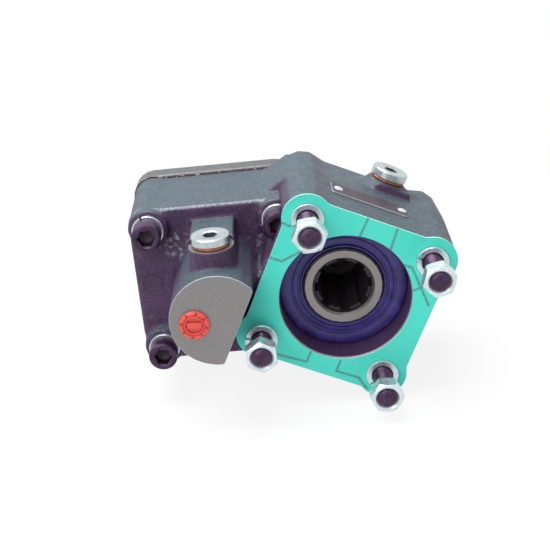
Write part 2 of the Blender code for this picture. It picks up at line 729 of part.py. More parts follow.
def bearing_mesh(size, segments=FINE):
    """A shielded ball bearing as a turned ring, with its front face at y = 0."""
    outer, inner, width = size
    outer_ring = outer - (outer - inner) * 0.22
    inner_ring = inner + (outer - inner) * 0.25
    bore = clear_radius(inner + SPIN_GAP, segments)
    return lathe([
        (bore, 0), (inner_ring, BEARING_SHIELD), (outer_ring, BEARING_SHIELD), (outer, 0),
        (outer, width), (bore, width),
    ], segments)


def output_shaft_mesh():
    """The hollow output shaft in one piece with its gear, splined inside for the pump."""
    front_journal = OUTPUT_FRONT_BEARING[1]
    back_journal = OUTPUT_BACK_BEARING[1]
    collar = front_journal + SHAFT_COLLAR
    back_end = OUTPUT_BACK_SEAT + OUTPUT_BACK_BEARING[2]
    collar_front = OUTPUT_FRONT_SEAT + OUTPUT_FRONT_BEARING[2] + SEAT_GAP
    shaft = lathe([
        (0, SHAFT_FRONT), (front_journal - 0.001, SHAFT_FRONT), (front_journal, SHAFT_FRONT + 0.001),
        (front_journal, collar_front), (collar, collar_front), (collar, OUTPUT_BACK_SEAT - SEAT_GAP),
        (back_journal, OUTPUT_BACK_SEAT - SEAT_GAP), (back_journal, back_end), (0, back_end),
    ])
    phase = CENTRE_ANGLE + math.pi + math.pi / OUTPUT_TEETH
    shaft = join(shaft, prism(gear_outline(OUTPUT_TEETH, phase), GEAR_FRONT, GEAR_BACK))
    mouth = SHAFT_FRONT + SPLINE_START
    bore = lathe([
        (0, SHAFT_FRONT - 0.001), (SPLINE_TIP + MOUTH_CHAMFER, SHAFT_FRONT - 0.001),
        (SPLINE_TIP + MOUTH_CHAMFER, SHAFT_FRONT), (SPLINE_TIP + 0.0002, SHAFT_FRONT + MOUTH_CHAMFER),
        (SPLINE_TIP + 0.0002, mouth), (0, mouth),
    ])
    splines = spline_outline(SPLINE_TEETH, SPLINE_ROOT, SPLINE_TIP, SPLINE_KEY)
    return cut(shaft, bore, prism(splines, mouth - 0.001, back_end + 0.001))


def bore_plug_mesh():
    """The blanking plug at the far end of the spline bore, with stamped rings."""
    front = OUTPUT_BACK_SEAT - 0.002
    radius = SPLINE_ROOT - SEAT_GAP
    return lathe([
        (0, front), (radius * 0.25, front), (radius * 0.3, front + 0.001), (radius * 0.6, front + 0.001),
        (radius * 0.66, front), (radius, front), (radius, front + BORE_PLUG_WIDTH), (0, front + BORE_PLUG_WIDTH),
    ], SMALL)


def seal_mesh():
    """The rotary shaft seal, with raised rings and grooves on its front."""
    outer = PILOT_RADIUS
    inner = clear_radius(OUTPUT_FRONT_BEARING[1] + SPIN_GAP, FINE)
    wall = outer - inner
    front = SEAL_FRONT
    groove = front + SEAL_WIDTH * 0.2
    return lathe([
        (outer, front + SEAL_WIDTH * 0.15), (outer - wall * 0.08, front), (outer - wall * 0.28, front),
        (outer - wall * 0.35, groove), (outer - wall * 0.57, groove), (outer - wall * 0.64, front + SPIN_GAP),
        (inner + wall * 0.22, front + SPIN_GAP), (inner + wall * 0.15, groove),
        (inner + wall * 0.04, front + SPIN_GAP),
        (inner, front + SEAL_WIDTH * 0.11), (inner, front + SEAL_WIDTH * 0.7), (inner + wall * 0.2, SEAL_BACK),
        (outer, SEAL_BACK),
    ])


def ring_mesh(inner, outer, front):
    """A retaining ring with an open gap at the bottom."""
    profile = [(inner, front), (outer, front), (outer, front + RING_WIDTH), (inner, front + RING_WIDTH)]
    return lathe(profile, 20, (RING_GAP - math.pi) / 2, math.tau - RING_GAP)


def input_gear_mesh():
    """The input gear on its two journals, splined inside for the shift sleeve."""
    journal = INPUT_BEARING[1]
    shoulder = journal + SHAFT_COLLAR
    front = INPUT_FRONT_SEAT
    back_bearing = INPUT_BACK_SEAT - INPUT_BEARING[2]
    gear = lathe([
        (0, front), (journal, front), (journal, GEAR_FRONT - SHOULDER_GAP),
        (shoulder, GEAR_FRONT - SHOULDER_GAP + SEAT_GAP), (shoulder, back_bearing - SEAT_GAP),
        (journal, back_bearing - SEAT_GAP), (journal, INPUT_BACK_SEAT), (0, INPUT_BACK_SEAT),
    ])
    gear = join(gear, prism(gear_outline(INPUT_TEETH, CENTRE_ANGLE), GEAR_FRONT, GEAR_BACK))
    hole = spline_outline(SPLINE_TEETH, SLEEVE_ROOT + SLEEVE_GAP, SLEEVE_TIP + SLEEVE_GAP, SLEEVE_KEY + 2 * SLEEVE_GAP)
    return cut(gear, prism(hole, front - 0.001, 0.001))


def coupling_sleeve_mesh():
    """The shift sleeve: it slides in the gear and takes the gearbox stub in its own splines."""
    journal = SHIFT_BEARING[1]
    body = prism(spline_outline(SPLINE_TEETH, SLEEVE_ROOT, SLEEVE_TIP, SLEEVE_KEY), SLEEVE_SHOULDER, SLEEVE_BACK)
    neck = lathe([
        (0, SHIFT_BEARING_FRONT), (journal, SHIFT_BEARING_FRONT), (journal, SHIFT_BEARING_BACK + SEAT_GAP),
        (NECK_RADIUS, SHIFT_BEARING_BACK + SEAT_GAP), (NECK_RADIUS, SLEEVE_SHOULDER + 0.001),
        (0, SLEEVE_SHOULDER + 0.001),
    ], MIDDLE)
    hole = prism(spline_outline(STUB_TEETH, STUB_ROOT, STUB_TIP, STUB_KEY), SLEEVE_BACK - STUB_DEPTH, 0.001)
    return cut(join(body, neck), hole)


def piston_mesh():
    """The piston: a grooved head, a tail for the indicator pin and a skirt round the bearing."""
    outer = CHAMBER_RADIUS - PISTON_GAP
    seat = SHIFT_BEARING[0] + THREAD_GAP
    groove_front = PISTON_FRONT + (PISTON_HEAD - PISTON_SEAL_WIDTH) / 2
    groove_back = groove_front + PISTON_SEAL_WIDTH
    groove = outer - PISTON_SEAL_DEPTH
    dip = TAIL_RADIUS - TAIL_GROOVE
    dip_back = INDICATOR_Y + INDICATOR_PIN_RADIUS + TAIL_CLEARANCE
    return lathe([
        (0, TAIL_FRONT), (TAIL_RADIUS, TAIL_FRONT),
        (TAIL_RADIUS, TAIL_DIP_FRONT), (dip, TAIL_DIP_FRONT), (dip, dip_back), (TAIL_RADIUS, dip_back + TAIL_GROOVE),
        (TAIL_RADIUS, PISTON_FRONT), (outer, PISTON_FRONT), (outer, groove_front), (groove, groove_front),
        (groove, groove_back), (outer, groove_back), (outer, PISTON_HEAD_BACK),
        (PISTON_SKIRT_RADIUS, PISTON_HEAD_BACK), (PISTON_SKIRT_RADIUS, SHIFT_BEARING_BACK),
        (seat, SHIFT_BEARING_BACK), (seat, SHIFT_BEARING_FRONT - SEAT_GAP), (0, SHIFT_BEARING_FRONT - SEAT_GAP),
    ], MIDDLE)


def piston_seal_mesh():
    """The lip seal in the piston's groove."""
    front = PISTON_FRONT + (PISTON_HEAD - PISTON_SEAL_WIDTH) / 2 + SEAT_GAP / 2
    back = front + PISTON_SEAL_WIDTH - SEAT_GAP
    outer = CHAMBER_RADIUS - THREAD_GAP
    inner = CHAMBER_RADIUS - PISTON_GAP - PISTON_SEAL_DEPTH + THREAD_GAP
    return lathe([(inner, front), (outer, front), (outer, back), (inner, back)], MIDDLE)


def spring_mesh():
    """The return spring round the piston's skirt."""
    radius = (PISTON_SKIRT_RADIUS + CHAMBER_RADIUS) / 2
    front = PISTON_HEAD_BACK + SEAT_GAP + SPRING_WIRE
    back = SPRING_SEAT_BACK - SPRING_SEAT_WIDTH - SEAT_GAP - SPRING_WIRE
    per_turn = 12
    sides = 5
    count = int(SPRING_TURNS * per_turn)
    bm = bmesh.new()
    rings = []
    for i in range(count + 1):
        angle = math.tau * i / per_turn
        y = front + (back - front) * i / count
        ring = []
        for side in range(sides):
            turn = math.tau * side / sides
            out = radius + SPRING_WIRE * math.cos(turn)
            along = y + SPRING_WIRE * math.sin(turn)
            ring.append(bm.verts.new((out * math.cos(angle), along, out * math.sin(angle))))
        rings.append(ring)
    for ring, following in zip(rings, rings[1:]):
        for side in range(sides):
            after = (side + 1) % sides
            bm.faces.new((ring[side], ring[after], following[after], following[side]))
    bm.faces.new(rings[0])
    bm.faces.new(rings[-1])
    return to_mesh(bm, "spring")


def spring_seat_mesh():
    """The washer between the spring and its retaining ring."""
    front = SPRING_SEAT_BACK - SPRING_SEAT_WIDTH
    inner = PISTON_SKIRT_RADIUS + RUNNING_GAP
    outer = CHAMBER_RADIUS - SEAT_GAP
    return lathe([(inner, front), (outer, front), (outer, SPRING_SEAT_BACK), (inner, SPRING_SEAT_BACK)], MIDDLE)


def socket_screw_mesh(seat):
    """A socket head screw with the underside of its head at y = seat."""
    front = seat - HEAD_HEIGHT
    ease = 0.0009
    screw = lathe([
        (0, front), (HEAD_RADIUS - ease, front), (HEAD_RADIUS, front + ease), (HEAD_RADIUS, seat),
        (STUD_RADIUS, seat), (STUD_RADIUS, SCREW_REACH - ease), (STUD_RADIUS - ease, SCREW_REACH),
        (0, SCREW_REACH),
    ], SMALL)
    return cut(screw, prism(hexagon(HEAD_FLATS), front - 0.001, front + HEAD_SOCKET))


def split_washer_mesh():
    """A spring lock washer with its front face at y = 0 and the split towards -X."""
    profile = [(WASHER_BORE, 0), (WASHER_RADIUS, 0), (WASHER_RADIUS, WASHER_HEIGHT), (WASHER_BORE, WASHER_HEIGHT)]
    return lathe(profile, 16, math.pi + WASHER_SPLIT / 2, math.tau - WASHER_SPLIT)


def stud_mesh():
    """A stud with eased ends, along Y."""
    front = GASKET_FRONT - STUD_REACH
    back = PUMP_FACE + STUD_ROOT
    ease = 0.001
    return lathe([
        (0, front), (STUD_RADIUS - ease, front), (STUD_RADIUS, front + ease),
        (STUD_RADIUS, back - ease), (STUD_RADIUS - ease, back), (0, back),
    ], SMALL)


def nut_mesh():
    """A hexagon nut with its outer end chamfered, its front face at y = 0."""
    flat = NUT_FLATS / 2
    corner = NUT_FLATS / math.sqrt(3)
    rise = (corner - flat) * math.tan(math.radians(30))
    nut = prism(hexagon(NUT_FLATS), 0, NUT_HEIGHT)
    envelope = lathe([
        (0, -TINY), (flat * 0.97, -TINY), (corner * 1.01, rise * 1.5),
        (corner * 1.01, NUT_HEIGHT + TINY), (0, NUT_HEIGHT + TINY),
    ], 18)
    nut = boolean(nut, envelope, "INTERSECT")
    bore = clear_radius(STUD_RADIUS + THREAD_GAP, SMALL)
    mouth = bore + 0.0006
    return cut(nut, lathe([
        (0, -0.001), (mouth, -0.001), (mouth, 0.0002), (bore, 0.001),
        (bore, NUT_HEIGHT + 0.001), (0, NUT_HEIGHT + 0.001),
    ], SMALL))


def screw_plug_mesh(pin):
    """A collar screw plug, standing along Y with its seat at y = 0; the indicator's has a pin."""
    ease = 0.0004
    top = PLUG_COLLAR_HEIGHT
    profile = [
        (0, top), (PLUG_COLLAR - ease, top), (PLUG_COLLAR, top - ease), (PLUG_COLLAR, 0),
        (PLUG_THREAD, 0), (PLUG_THREAD, -PLUG_THREAD_LENGTH + ease),
        (PLUG_THREAD - ease, -PLUG_THREAD_LENGTH),
    ]
    if pin:
        profile += [(INDICATOR_PIN_RADIUS, -PLUG_THREAD_LENGTH), (INDICATOR_PIN_RADIUS, -pin), (0, -pin)]
    else:
        profile += [(0, -PLUG_THREAD_LENGTH)]
    return cut(lathe(profile, MIDDLE), prism(hexagon(PLUG_FLATS), top - PLUG_SOCKET, top + 0.001))


def copper_washer_mesh():
    """The sealing washer of a screw plug, with its underside at y = 0."""
    inner = PLUG_THREAD + THREAD_GAP
    return lathe([
        (inner, 0), (PLUG_WASHER, 0), (PLUG_WASHER, PLUG_WASHER_HEIGHT), (inner, PLUG_WASHER_HEIGHT),
    ], MIDDLE)


def label_mesh():
    """The nameplate, with a hole near each end, lying on y = 0."""
    half = PLATE_LABEL_LENGTH / 2
    side = PLATE_LABEL_WIDTH / 2
    nip = 0.0012
    outline = [
        (half, nip - side), (half, side - nip), (half - nip, side), (nip - half, side),
        (-half, side - nip), (-half, nip - side), (nip - half, -side), (half - nip, -side),
    ]
    label = prism(outline, SEAT_GAP, SEAT_GAP + PLATE_LABEL_THICKNESS)
    for along in pin_places():
        hole = tube(PIN_RADIUS + THREAD_GAP, 0, 0.002, 8)
        label = cut(label, moved(hole, Matrix.Translation((along, 0, 0))))
    return label


def pin_mesh():
    """A dome-headed drive pin."""
    base = PLATE_LABEL_THICKNESS + 2 * SEAT_GAP
    dome = [(PIN_HEAD * math.cos(a), base + PIN_HEAD_HEIGHT * math.sin(a)) for a in (0, 0.5, 1.0)]
    return lathe([
        (0, -PIN_LENGTH), (PIN_RADIUS, -PIN_LENGTH), (PIN_RADIUS, base), *dome, (0, base + PIN_HEAD_HEIGHT),
    ], 8)


def cap_mesh():
    """The transit cap: a flange, a hollow stem in the port and a grip bar in its recess."""
    front = PISTON_BOSS_FRONT - SEAT_GAP - CAP_FLANGE
    stem = PORT_MOUTH_RADIUS - SEAT_GAP
    floor = front + CAP_LENGTH - CAP_WALL
    cap = lathe([
        (0, floor), (CAP_RECESS, floor), (CAP_RECESS, front), (CAP_RADIUS - 0.0007, front),
        (CAP_RADIUS, front + 0.0007), (CAP_RADIUS, front + CAP_FLANGE), (stem, front + CAP_FLANGE),
        (stem, front + CAP_LENGTH), (0, front + CAP_LENGTH),
    ], SMALL)
    half = CAP_RECESS + CAP_WALL / 2
    bar = [(-half, -CAP_WALL), (half, -CAP_WALL), (half, CAP_WALL), (-half, CAP_WALL)]
    return join(cap, prism(bar, front + CAP_WALL, floor + CAP_WALL / 2))


def build_casting(cast_iron, turquoise, dark):
    """The housing, the gearbox plate, the pump gasket and the nameplate."""
    piece("housing", housing_mesh(), cast_iron)
    piece("back_plate", back_plate_mesh(), cast_iron, at_input())
    piece("output_gasket", gasket_mesh(), turquoise, at_flange())
    piece("nameplate", label_mesh(), dark, label_frame())


def build_fasteners(black, zinc):
    """Mounting screws, studs, nuts, lock washers and drive pins."""
    washer = split_washer_mesh()
    screw = socket_screw_mesh(BOSS_FRONT - WASHER_HEIGHT - 2 * SEAT_GAP)
    for number, (x, z) in enumerate(square_places(SCREW_PITCH)[:3], 1):
        place = at_input() @ Matrix.Translation((x, 0, z))
        piece(f"mounting_screw_{number}", screw, black, place)
        drop = Matrix.Translation((0, BOSS_FRONT - WASHER_HEIGHT - SEAT_GAP, 0))
        turn = Matrix.Rotation(math.radians(70 * number), 4, "Y")
        piece(f"screw_washer_{number}", washer, zinc, place @ drop @ turn)
    stud = stud_mesh()
    nut = nut_mesh()
    nut_y = GASKET_FRONT - STUD_REACH + 0.0005
    for number, (x, z) in enumerate(square_places(PUMP_PITCH), 1):
        place = at_flange() @ Matrix.Translation((x, 0, z))
        turn = Matrix.Rotation(math.radians(NUT_TURNS[number - 1]), 4, "Y")
        piece(f"stud_{number}", stud, black, place)
        piece(f"stud_nut_{number}", nut, zinc, place @ Matrix.Translation((0, nut_y, 0)) @ turn)
        washer_y = GASKET_FRONT - WASHER_HEIGHT - SEAT_GAP
        if number == 3:
            washer_y -= WASHER_LIFT
        turn = Matrix.Rotation(math.radians(WASHER_TURNS[number - 1]), 4, "Y")
        piece(f"stud_washer_{number}", washer, zinc, place @ Matrix.Translation((0, washer_y, 0)) @ turn)
    pin = pin_mesh()
    for number, along in enumerate(pin_places(), 1):
        piece(f"nameplate_pin_{number}", pin, zinc, label_frame() @ Matrix.Translation((along, 0, 0)))


def build_plugs(zinc, copper, red):
    """The indicator port plug, the filler plug, their washers and the port's transit cap."""
    lift = PLUG_WASHER_HEIGHT + 2 * SEAT_GAP
    indicator = Matrix.Translation((0, INDICATOR_Y, INPUT_HEIGHT + INDICATOR_SEAT)) @ upright()
    reach = INDICATOR_SEAT + lift - TAIL_RADIUS + TAIL_GROOVE - SEAT_GAP
    filler_top = PARTING_SWELL + FILLER_BOSS_HEIGHT + FILLER_NECK
    filler = filler_frame() @ Matrix.Translation((0, filler_top, 0))
    washer = copper_washer_mesh()
    for name, seat, pin in (("indicator_plug", indicator, reach), ("filler_plug", filler, 0)):
        piece(name, screw_plug_mesh(pin), zinc, seat @ Matrix.Translation((0, lift, 0)))
        piece(f"{name}_washer", washer, copper, seat @ Matrix.Translation((0, SEAT_GAP, 0)))
    piece("port_cap", cap_mesh(), red, at_input() @ Matrix.Translation((PORT_X, 0, -PORT_DROP)))


def build_output(steel, seal_blue, spring_steel):
    """The output shaft in its bearings, with the seal, its ring and the bore plug."""
    piece("output_shaft", output_shaft_mesh(), steel, at_output())
    piece("bore_plug", bore_plug_mesh(), steel, at_output())
    piece("shaft_seal", seal_mesh(), seal_blue, at_output())
    ring = ring_mesh(PILOT_RADIUS - RING_HEIGHT, PILOT_RADIUS + RING_GROOVE - SEAT_GAP,
                     OUTPUT_RING_BACK - RING_WIDTH)
    piece("output_retaining_ring", ring, spring_steel, at_output())
    front = at_output() @ Matrix.Translation((0, OUTPUT_FRONT_SEAT, 0))
    back = at_output() @ Matrix.Translation((0, OUTPUT_BACK_SEAT, 0))
    piece("output_front_bearing", bearing_mesh(OUTPUT_FRONT_BEARING), steel, front)
    piece("output_back_bearing", bearing_mesh(OUTPUT_BACK_BEARING), steel, back)


def build_input(steel, rubber, aluminium, spring_steel):
    """The input gear in its bearings and the shift that couples it to the gearbox."""
    piece("input_gear", input_gear_mesh(), steel, at_input())
    bearing = bearing_mesh(INPUT_BEARING)
    back = INPUT_BACK_SEAT - INPUT_BEARING[2]
    piece("input_front_bearing", bearing, steel, at_input() @ Matrix.Translation((0, INPUT_FRONT_SEAT, 0)))
    piece("input_back_bearing", bearing, steel, at_input() @ Matrix.Translation((0, back, 0)))
    piece("coupling_sleeve", coupling_sleeve_mesh(), steel, at_input())
    piece("piston", piston_mesh(), aluminium, at_input())
    piece("piston_seal", piston_seal_mesh(), rubber, at_input())
    shift = at_input() @ Matrix.Translation((0, SHIFT_BEARING_FRONT, 0))
    piece("shift_bearing", bearing_mesh(SHIFT_BEARING, MIDDLE), steel, shift)
    piece("return_spring", spring_mesh(), spring_steel, at_input())
    piece("spring_seat", spring_seat_mesh(), steel, at_input())
    ring = ring_mesh(PISTON_SKIRT_RADIUS + RUNNING_GAP, CHAMBER_RADIUS + RING_GROOVE - SEAT_GAP,
                     CHAMBER_RING_BACK - RING_WIDTH)
    piece("spring_retaining_ring", ring, spring_steel, at_input())


def main():
    """Clear the scene and build the unit."""
    for item in list(bpy.data.objects):
        bpy.data.objects.remove(item)
    cast_iron = material("painted_cast_iron", (0.085, 0.09, 0.1), 0.6, 0.1)
    turquoise = material("gasket_fibre", (0.06, 0.62, 0.55), 0.7, 0.0)
    dark = material("nameplate_metal", (0.03, 0.022, 0.03), 0.4, 0.3)
    black = material("black_oxide_steel", (0.03, 0.025, 0.035), 0.35, 0.8)
    zinc = material("bright_zinc", (0.75, 0.77, 0.78), 0.25, 1.0)
    copper = material("copper", (0.72, 0.33, 0.2), 0.35, 1.0)
    red = material("red_plastic", (0.75, 0.06, 0.04), 0.4, 0.0)
    steel = material("ground_steel", (0.45, 0.44, 0.45), 0.3, 1.0)
    spring_steel = material("spring_steel", (0.12, 0.12, 0.13), 0.35, 0.9)
    seal_blue = material("seal_rubber", (0.02, 0.02, 0.09), 0.45, 0.0)
    rubber = material("black_rubber", (0.02, 0.02, 0.02), 0.6, 0.0)
    aluminium = material("aluminium", (0.7, 0.7, 0.72), 0.35, 1.0)
    build_casting(cast_iron, turquoise, dark)
    build_fasteners(black, zinc)
    build_plugs(zinc, copper, red)
    build_output(steel, seal_blue, spring_steel)
    build_input(steel, rubber, aluminium, spring_steel)


main()
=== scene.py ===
"""The looks of a gearbox power take off: materials, threaded fasteners and the cast skin.

Metres, +Z up, with the gearbox towards +Y and the pump towards -Y.
"""

import math

import bmesh
import bpy
from bpy.props import FloatProperty, FloatVectorProperty, IntProperty, PointerProperty
from mathutils import Matrix, Vector


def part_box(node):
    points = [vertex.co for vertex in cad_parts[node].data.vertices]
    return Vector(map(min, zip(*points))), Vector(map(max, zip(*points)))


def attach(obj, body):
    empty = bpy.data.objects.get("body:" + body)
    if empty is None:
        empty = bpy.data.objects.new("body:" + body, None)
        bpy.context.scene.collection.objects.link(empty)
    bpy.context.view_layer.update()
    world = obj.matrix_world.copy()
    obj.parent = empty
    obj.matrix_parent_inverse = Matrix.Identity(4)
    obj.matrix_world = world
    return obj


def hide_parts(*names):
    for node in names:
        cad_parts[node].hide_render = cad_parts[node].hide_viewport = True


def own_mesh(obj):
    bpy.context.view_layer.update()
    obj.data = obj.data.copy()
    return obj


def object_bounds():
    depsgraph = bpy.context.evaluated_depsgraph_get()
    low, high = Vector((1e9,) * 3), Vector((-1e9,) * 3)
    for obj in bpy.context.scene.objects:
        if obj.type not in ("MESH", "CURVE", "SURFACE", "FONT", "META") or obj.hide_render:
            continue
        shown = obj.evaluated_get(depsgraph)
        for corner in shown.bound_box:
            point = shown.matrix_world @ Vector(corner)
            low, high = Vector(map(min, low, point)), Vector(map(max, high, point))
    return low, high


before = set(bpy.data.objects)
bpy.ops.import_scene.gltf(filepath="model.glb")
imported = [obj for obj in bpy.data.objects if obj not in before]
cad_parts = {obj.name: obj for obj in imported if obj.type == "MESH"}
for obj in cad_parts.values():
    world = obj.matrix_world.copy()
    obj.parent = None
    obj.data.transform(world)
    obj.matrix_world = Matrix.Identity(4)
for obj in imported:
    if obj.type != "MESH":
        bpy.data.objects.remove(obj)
SOLID_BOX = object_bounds()

bl_info = {
    "name": "Power Take Off Looks",
    "version": (1, 0, 0),
    "blender": (4, 5, 0),
    "location": "3D View > Sidebar > Power Take Off",
    "description": "Builds the visible surfaces of a gearbox power take off",
    "category": "Object",
}


def middle_of(node):
    """The middle of a CAD node's box."""
    low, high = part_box(node)
    return (low + high) / 2


def front_of(node):
    """The Y of a CAD node's front."""
    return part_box(node)[0].y


# Axes and faces that the pieces share
INPUT_HEIGHT = 0.045
OUTPUT_X = 0.0768124
OUTPUT_Z = 0.0396288
FLANGE_TURN = math.radians(25.4)
SEAM = -0.014
BLOCK_FRONT = -0.074
PUMP_FACE = -0.106
GASKET_FRONT = -0.107
BOSS_FRONT = front_of("housing")
FLANGE_PITCH = 0.080
FLANGE_HALF_WIDTH = 0.0526
FLANGE_LOBE = 0.0154
FLANGE_FILLET = 0.006
PILOT_RADIUS = 0.040
SHAFT_FRONT = -0.089
SEAL_FRONT = -0.0875
WASHER_GAP = 0.0003
INDICATOR_Y = middle_of("indicator_plug").y
INDICATOR_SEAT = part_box("indicator_plug_washer")[0].z - WASHER_GAP
FILLER_MIDDLE = middle_of("filler_plug_washer")
FILLER_CUT = -0.00015
PORT_X = middle_of("port_cap").x
PORT_Z = middle_of("port_cap").z
SCREW_SEAT = BLOCK_FRONT - 0.005
SCREW_PITCH = 0.080
TAPPED_X = 0.04
TAPPED_Z = 0.005

# Bores of the casting: radii, and where each begins or ends along Y
PILOT_MOUTH = 0.0438
PILOT_BORE = 0.0402
PILOT_BORE_BACK = -0.0652
GEAR_BORE = 0.039
GEAR_BORE_BACK = -0.031
OUTPUT_SEAT = 0.0377
OUTPUT_SEAT_BACK = -0.0197
GEAR_CAVITY = 0.0466
GEAR_CAVITY_FRONT = -0.053
INPUT_SEAT = 0.0362
INPUT_SEAT_FRONT = -0.0660
CHAMBER = 0.0221
CHAMBER_FRONT = -0.0980
CHAMBER_BACK = -0.0650
TAIL_BORE = 0.0082
TAIL_BORE_FRONT = BOSS_FRONT + 0.0062
TAIL_BORE_BACK = -0.097
PORT_MOUTH = 0.0078
PORT_BORE = 0.0072
PORT_DRILL = 0.0041
PORT_SHOULDER = BOSS_FRONT + 0.012
PORT_BACK = -0.0975
PLUG_MOUTH = 0.0095
PLUG_BORE = 0.00915
PLUG_DRILL = 0.0032
SCREW_HOLE = 0.0067
HEAD_RECESS = 0.0112
HEAD_RECESS_DEPTH = 0.004
WEB_RECESS_DEPTH = 0.0165
TAPPED_HOLE = 0.0052
TAPPED_END = -0.036
STUD_HOLE = 0.00615
STUD_HOLE_DEPTH = 0.0183
PAST = 0.001

# Sizes of the fasteners
THREAD_RADIUS = 0.006
HEAD_HEIGHT = 0.012
SCREW_THREAD = (0.0690, 0.1021)
NUT_FLATS = 0.018
NUT_HEIGHT = 0.010
NUT_TURNS = (28.6, 22.0, 2.0, 40.0)
WASHER_TURNS = (-44.0, 0.0, -10.0, -60.0)
WASHER_SPLIT = math.radians(9)
SCREW_TURNS = (0.0, 22.0, 9.0)
PLUG_COLLAR = 0.005
PLUG_LIFT = 0.0021
SCREWS = (1, 2, 3)
STUDS = (1, 2, 3, 4)

# The casting: iron left on its faces, the plugs' filled bores, the clearance beside the pump flange,
# the material numbers of its faces and the turn that points a Y axis up
FLANGE_ALLOWANCE = 0.0012
SEAT_SHARE = 0.7
PLUG_FILL = 0.0098
BLANK_BACK = SEAM - 0.0003
FLANGE_EDGE = -0.0584
WIDE = 0.08
NEAR = 0.00002
PAINT, MILLED, BORED = range(3)
UPRIGHT = Matrix.Rotation(math.pi / 2, 4, "X")

# Steps round a circle
ROUND = 96
SMALL_ROUND = 48
FINE_ROUND = 128

# The plain lines on the gasket, in its own plane from the shaft's axis
GASKET_LINES = (
    ((-0.0526, 0.0095), (-0.0448, 0.0098)), ((-0.0448, 0.0098), (-0.0365, 0.0193)),
    ((0.0236, 0.0321), (0.0302, 0.0321)), ((0.0302, 0.0321), (0.0492, 0.0125)),
    ((0.0350, 0.0170), (0.0417, 0.0233)), ((-0.0063, 0.0526), (-0.0068, 0.0405)),
    ((0.0125, 0.0526), (0.0136, 0.0385)), ((0.0123, -0.0479), (0.0124, -0.0405)),
    ((0.0123, -0.0479), (0.0275, -0.0475)), ((0.0275, -0.0475), (0.0344, -0.0526)),
    ((-0.0265, -0.0492), (-0.0073, -0.0480)), ((-0.0073, -0.0480), (-0.0072, -0.0411)),
    ((-0.0535, 0.0326), (-0.0480, 0.0323)),
)


class CastingSizes(bpy.types.PropertyGroup):
    """The casting's skin, its paint and the metal under it."""

    skin: FloatProperty(
        name="Skin grain", description="Size of the cells that the cast skin is remade from",
        default=0.00105, min=0.0008, max=0.004, unit="LENGTH")
    soften: IntProperty(
        name="Soft edges", description="How many times the cast edges are smoothed", default=8, min=0, max=20)
    allowance: FloatProperty(
        name="Machining allowance", description="Iron that is left on before the faces are cut",
        default=0.002, min=0.0005, max=0.005, unit="LENGTH")
    paint: FloatVectorProperty(
        name="Paint", description="Charcoal paint", subtype="COLOR", default=(0.045, 0.018, 0.059))
    # The colour of the tops: a film of dust together with painted sheen where the top light falls.
    dust_and_sheen: FloatVectorProperty(
        name="Dust", description="Paint under a film of dust, on tops", subtype="COLOR",
        default=(0.060, 0.086, 0.106))
    worn: FloatVectorProperty(
        name="Worn paint", description="Rubbed edges and scuffs", subtype="COLOR", default=(0.30, 0.32, 0.38))
    iron: FloatVectorProperty(
        name="Bare iron", description="Faces that are milled after painting", subtype="COLOR",
        default=(0.235, 0.225, 0.226))
    sealant: FloatVectorProperty(
        name="Sealant", description="Dark sealant squeezed out of the joint", subtype="COLOR",
        default=(0.045, 0.018, 0.03))


class GasketSizes(bpy.types.PropertyGroup):
    """The pump gasket."""

    sheet: FloatVectorProperty(
        name="Sheet", description="Turquoise fibre sheet", subtype="COLOR", default=(0.055, 0.66, 0.54))
    edge: FloatVectorProperty(
        name="Cut edge", description="Pale fibre at the cut edge", subtype="COLOR",
        default=(0.62, 0.86, 0.80))
    line: FloatVectorProperty(
        name="Line", description="Thin grey lines on the sheet", subtype="COLOR", default=(0.075, 0.26, 0.25))
    line_width: FloatProperty(
        name="Line width", description="Width of the grey lines", default=0.0016, unit="LENGTH")


class FastenerSizes(bpy.types.PropertyGroup):
    """Studs, nuts, screws and washers."""

    thread_pitch: FloatProperty(
        name="Thread pitch", description="Pitch of the stud threads", default=0.00175, unit="LENGTH")
    thread_depth: FloatProperty(
        name="Thread depth", description="Depth of the stud threads", default=0.00085, unit="LENGTH")
    black: FloatVectorProperty(
        name="Black oxide", description="Blackened screws and studs", subtype="COLOR",
        default=(0.036, 0.014, 0.043))
    zinc: FloatVectorProperty(
        name="Zinc", description="Bright zinc plate", subtype="COLOR", default=(0.67, 0.76, 0.79))
    # Painted shade: the copper is set darker than bare copper, as the sealing washers sit in shade under the
    # plug collars.
    copper: FloatVectorProperty(
        name="Copper", description="Copper sealing washers", subtype="COLOR", default=(0.56, 0.20, 0.10))


class ShaftSizes(bpy.types.PropertyGroup):
    """The output shaft, its seal and what runs inside."""

    steel: FloatVectorProperty(
        name="Ground steel", description="Shafts, sleeve and gears", subtype="COLOR",
        default=(0.50, 0.47, 0.46))
    seal: FloatVectorProperty(
        name="Seal", description="Dark blue seal rubber", subtype="COLOR", default=(0.026, 0.014, 0.155))


class SmallPartSizes(bpy.types.PropertyGroup):
    """The transit cap and the nameplate."""

    cap: FloatVectorProperty(
        name="Cap", description="Red moulded plastic", subtype="COLOR", default=(0.66, 0.070, 0.052))
    plate: FloatVectorProperty(
        name="Plate", description="Dark anodised nameplate", subtype="COLOR", default=(0.038, 0.024, 0.036))


class StudioSizes(bpy.types.PropertyGroup):
    """Light and backdrop."""

    top_light: FloatProperty(
        name="Top light", description="Power of the overhead lamp", default=15.0, unit="POWER")
    front_light: FloatProperty(
        name="Front light", description="Power of the front lamp", default=5.2, unit="POWER")
    fill: FloatProperty(name="Fill", description="Strength of the world light", default=0.30)


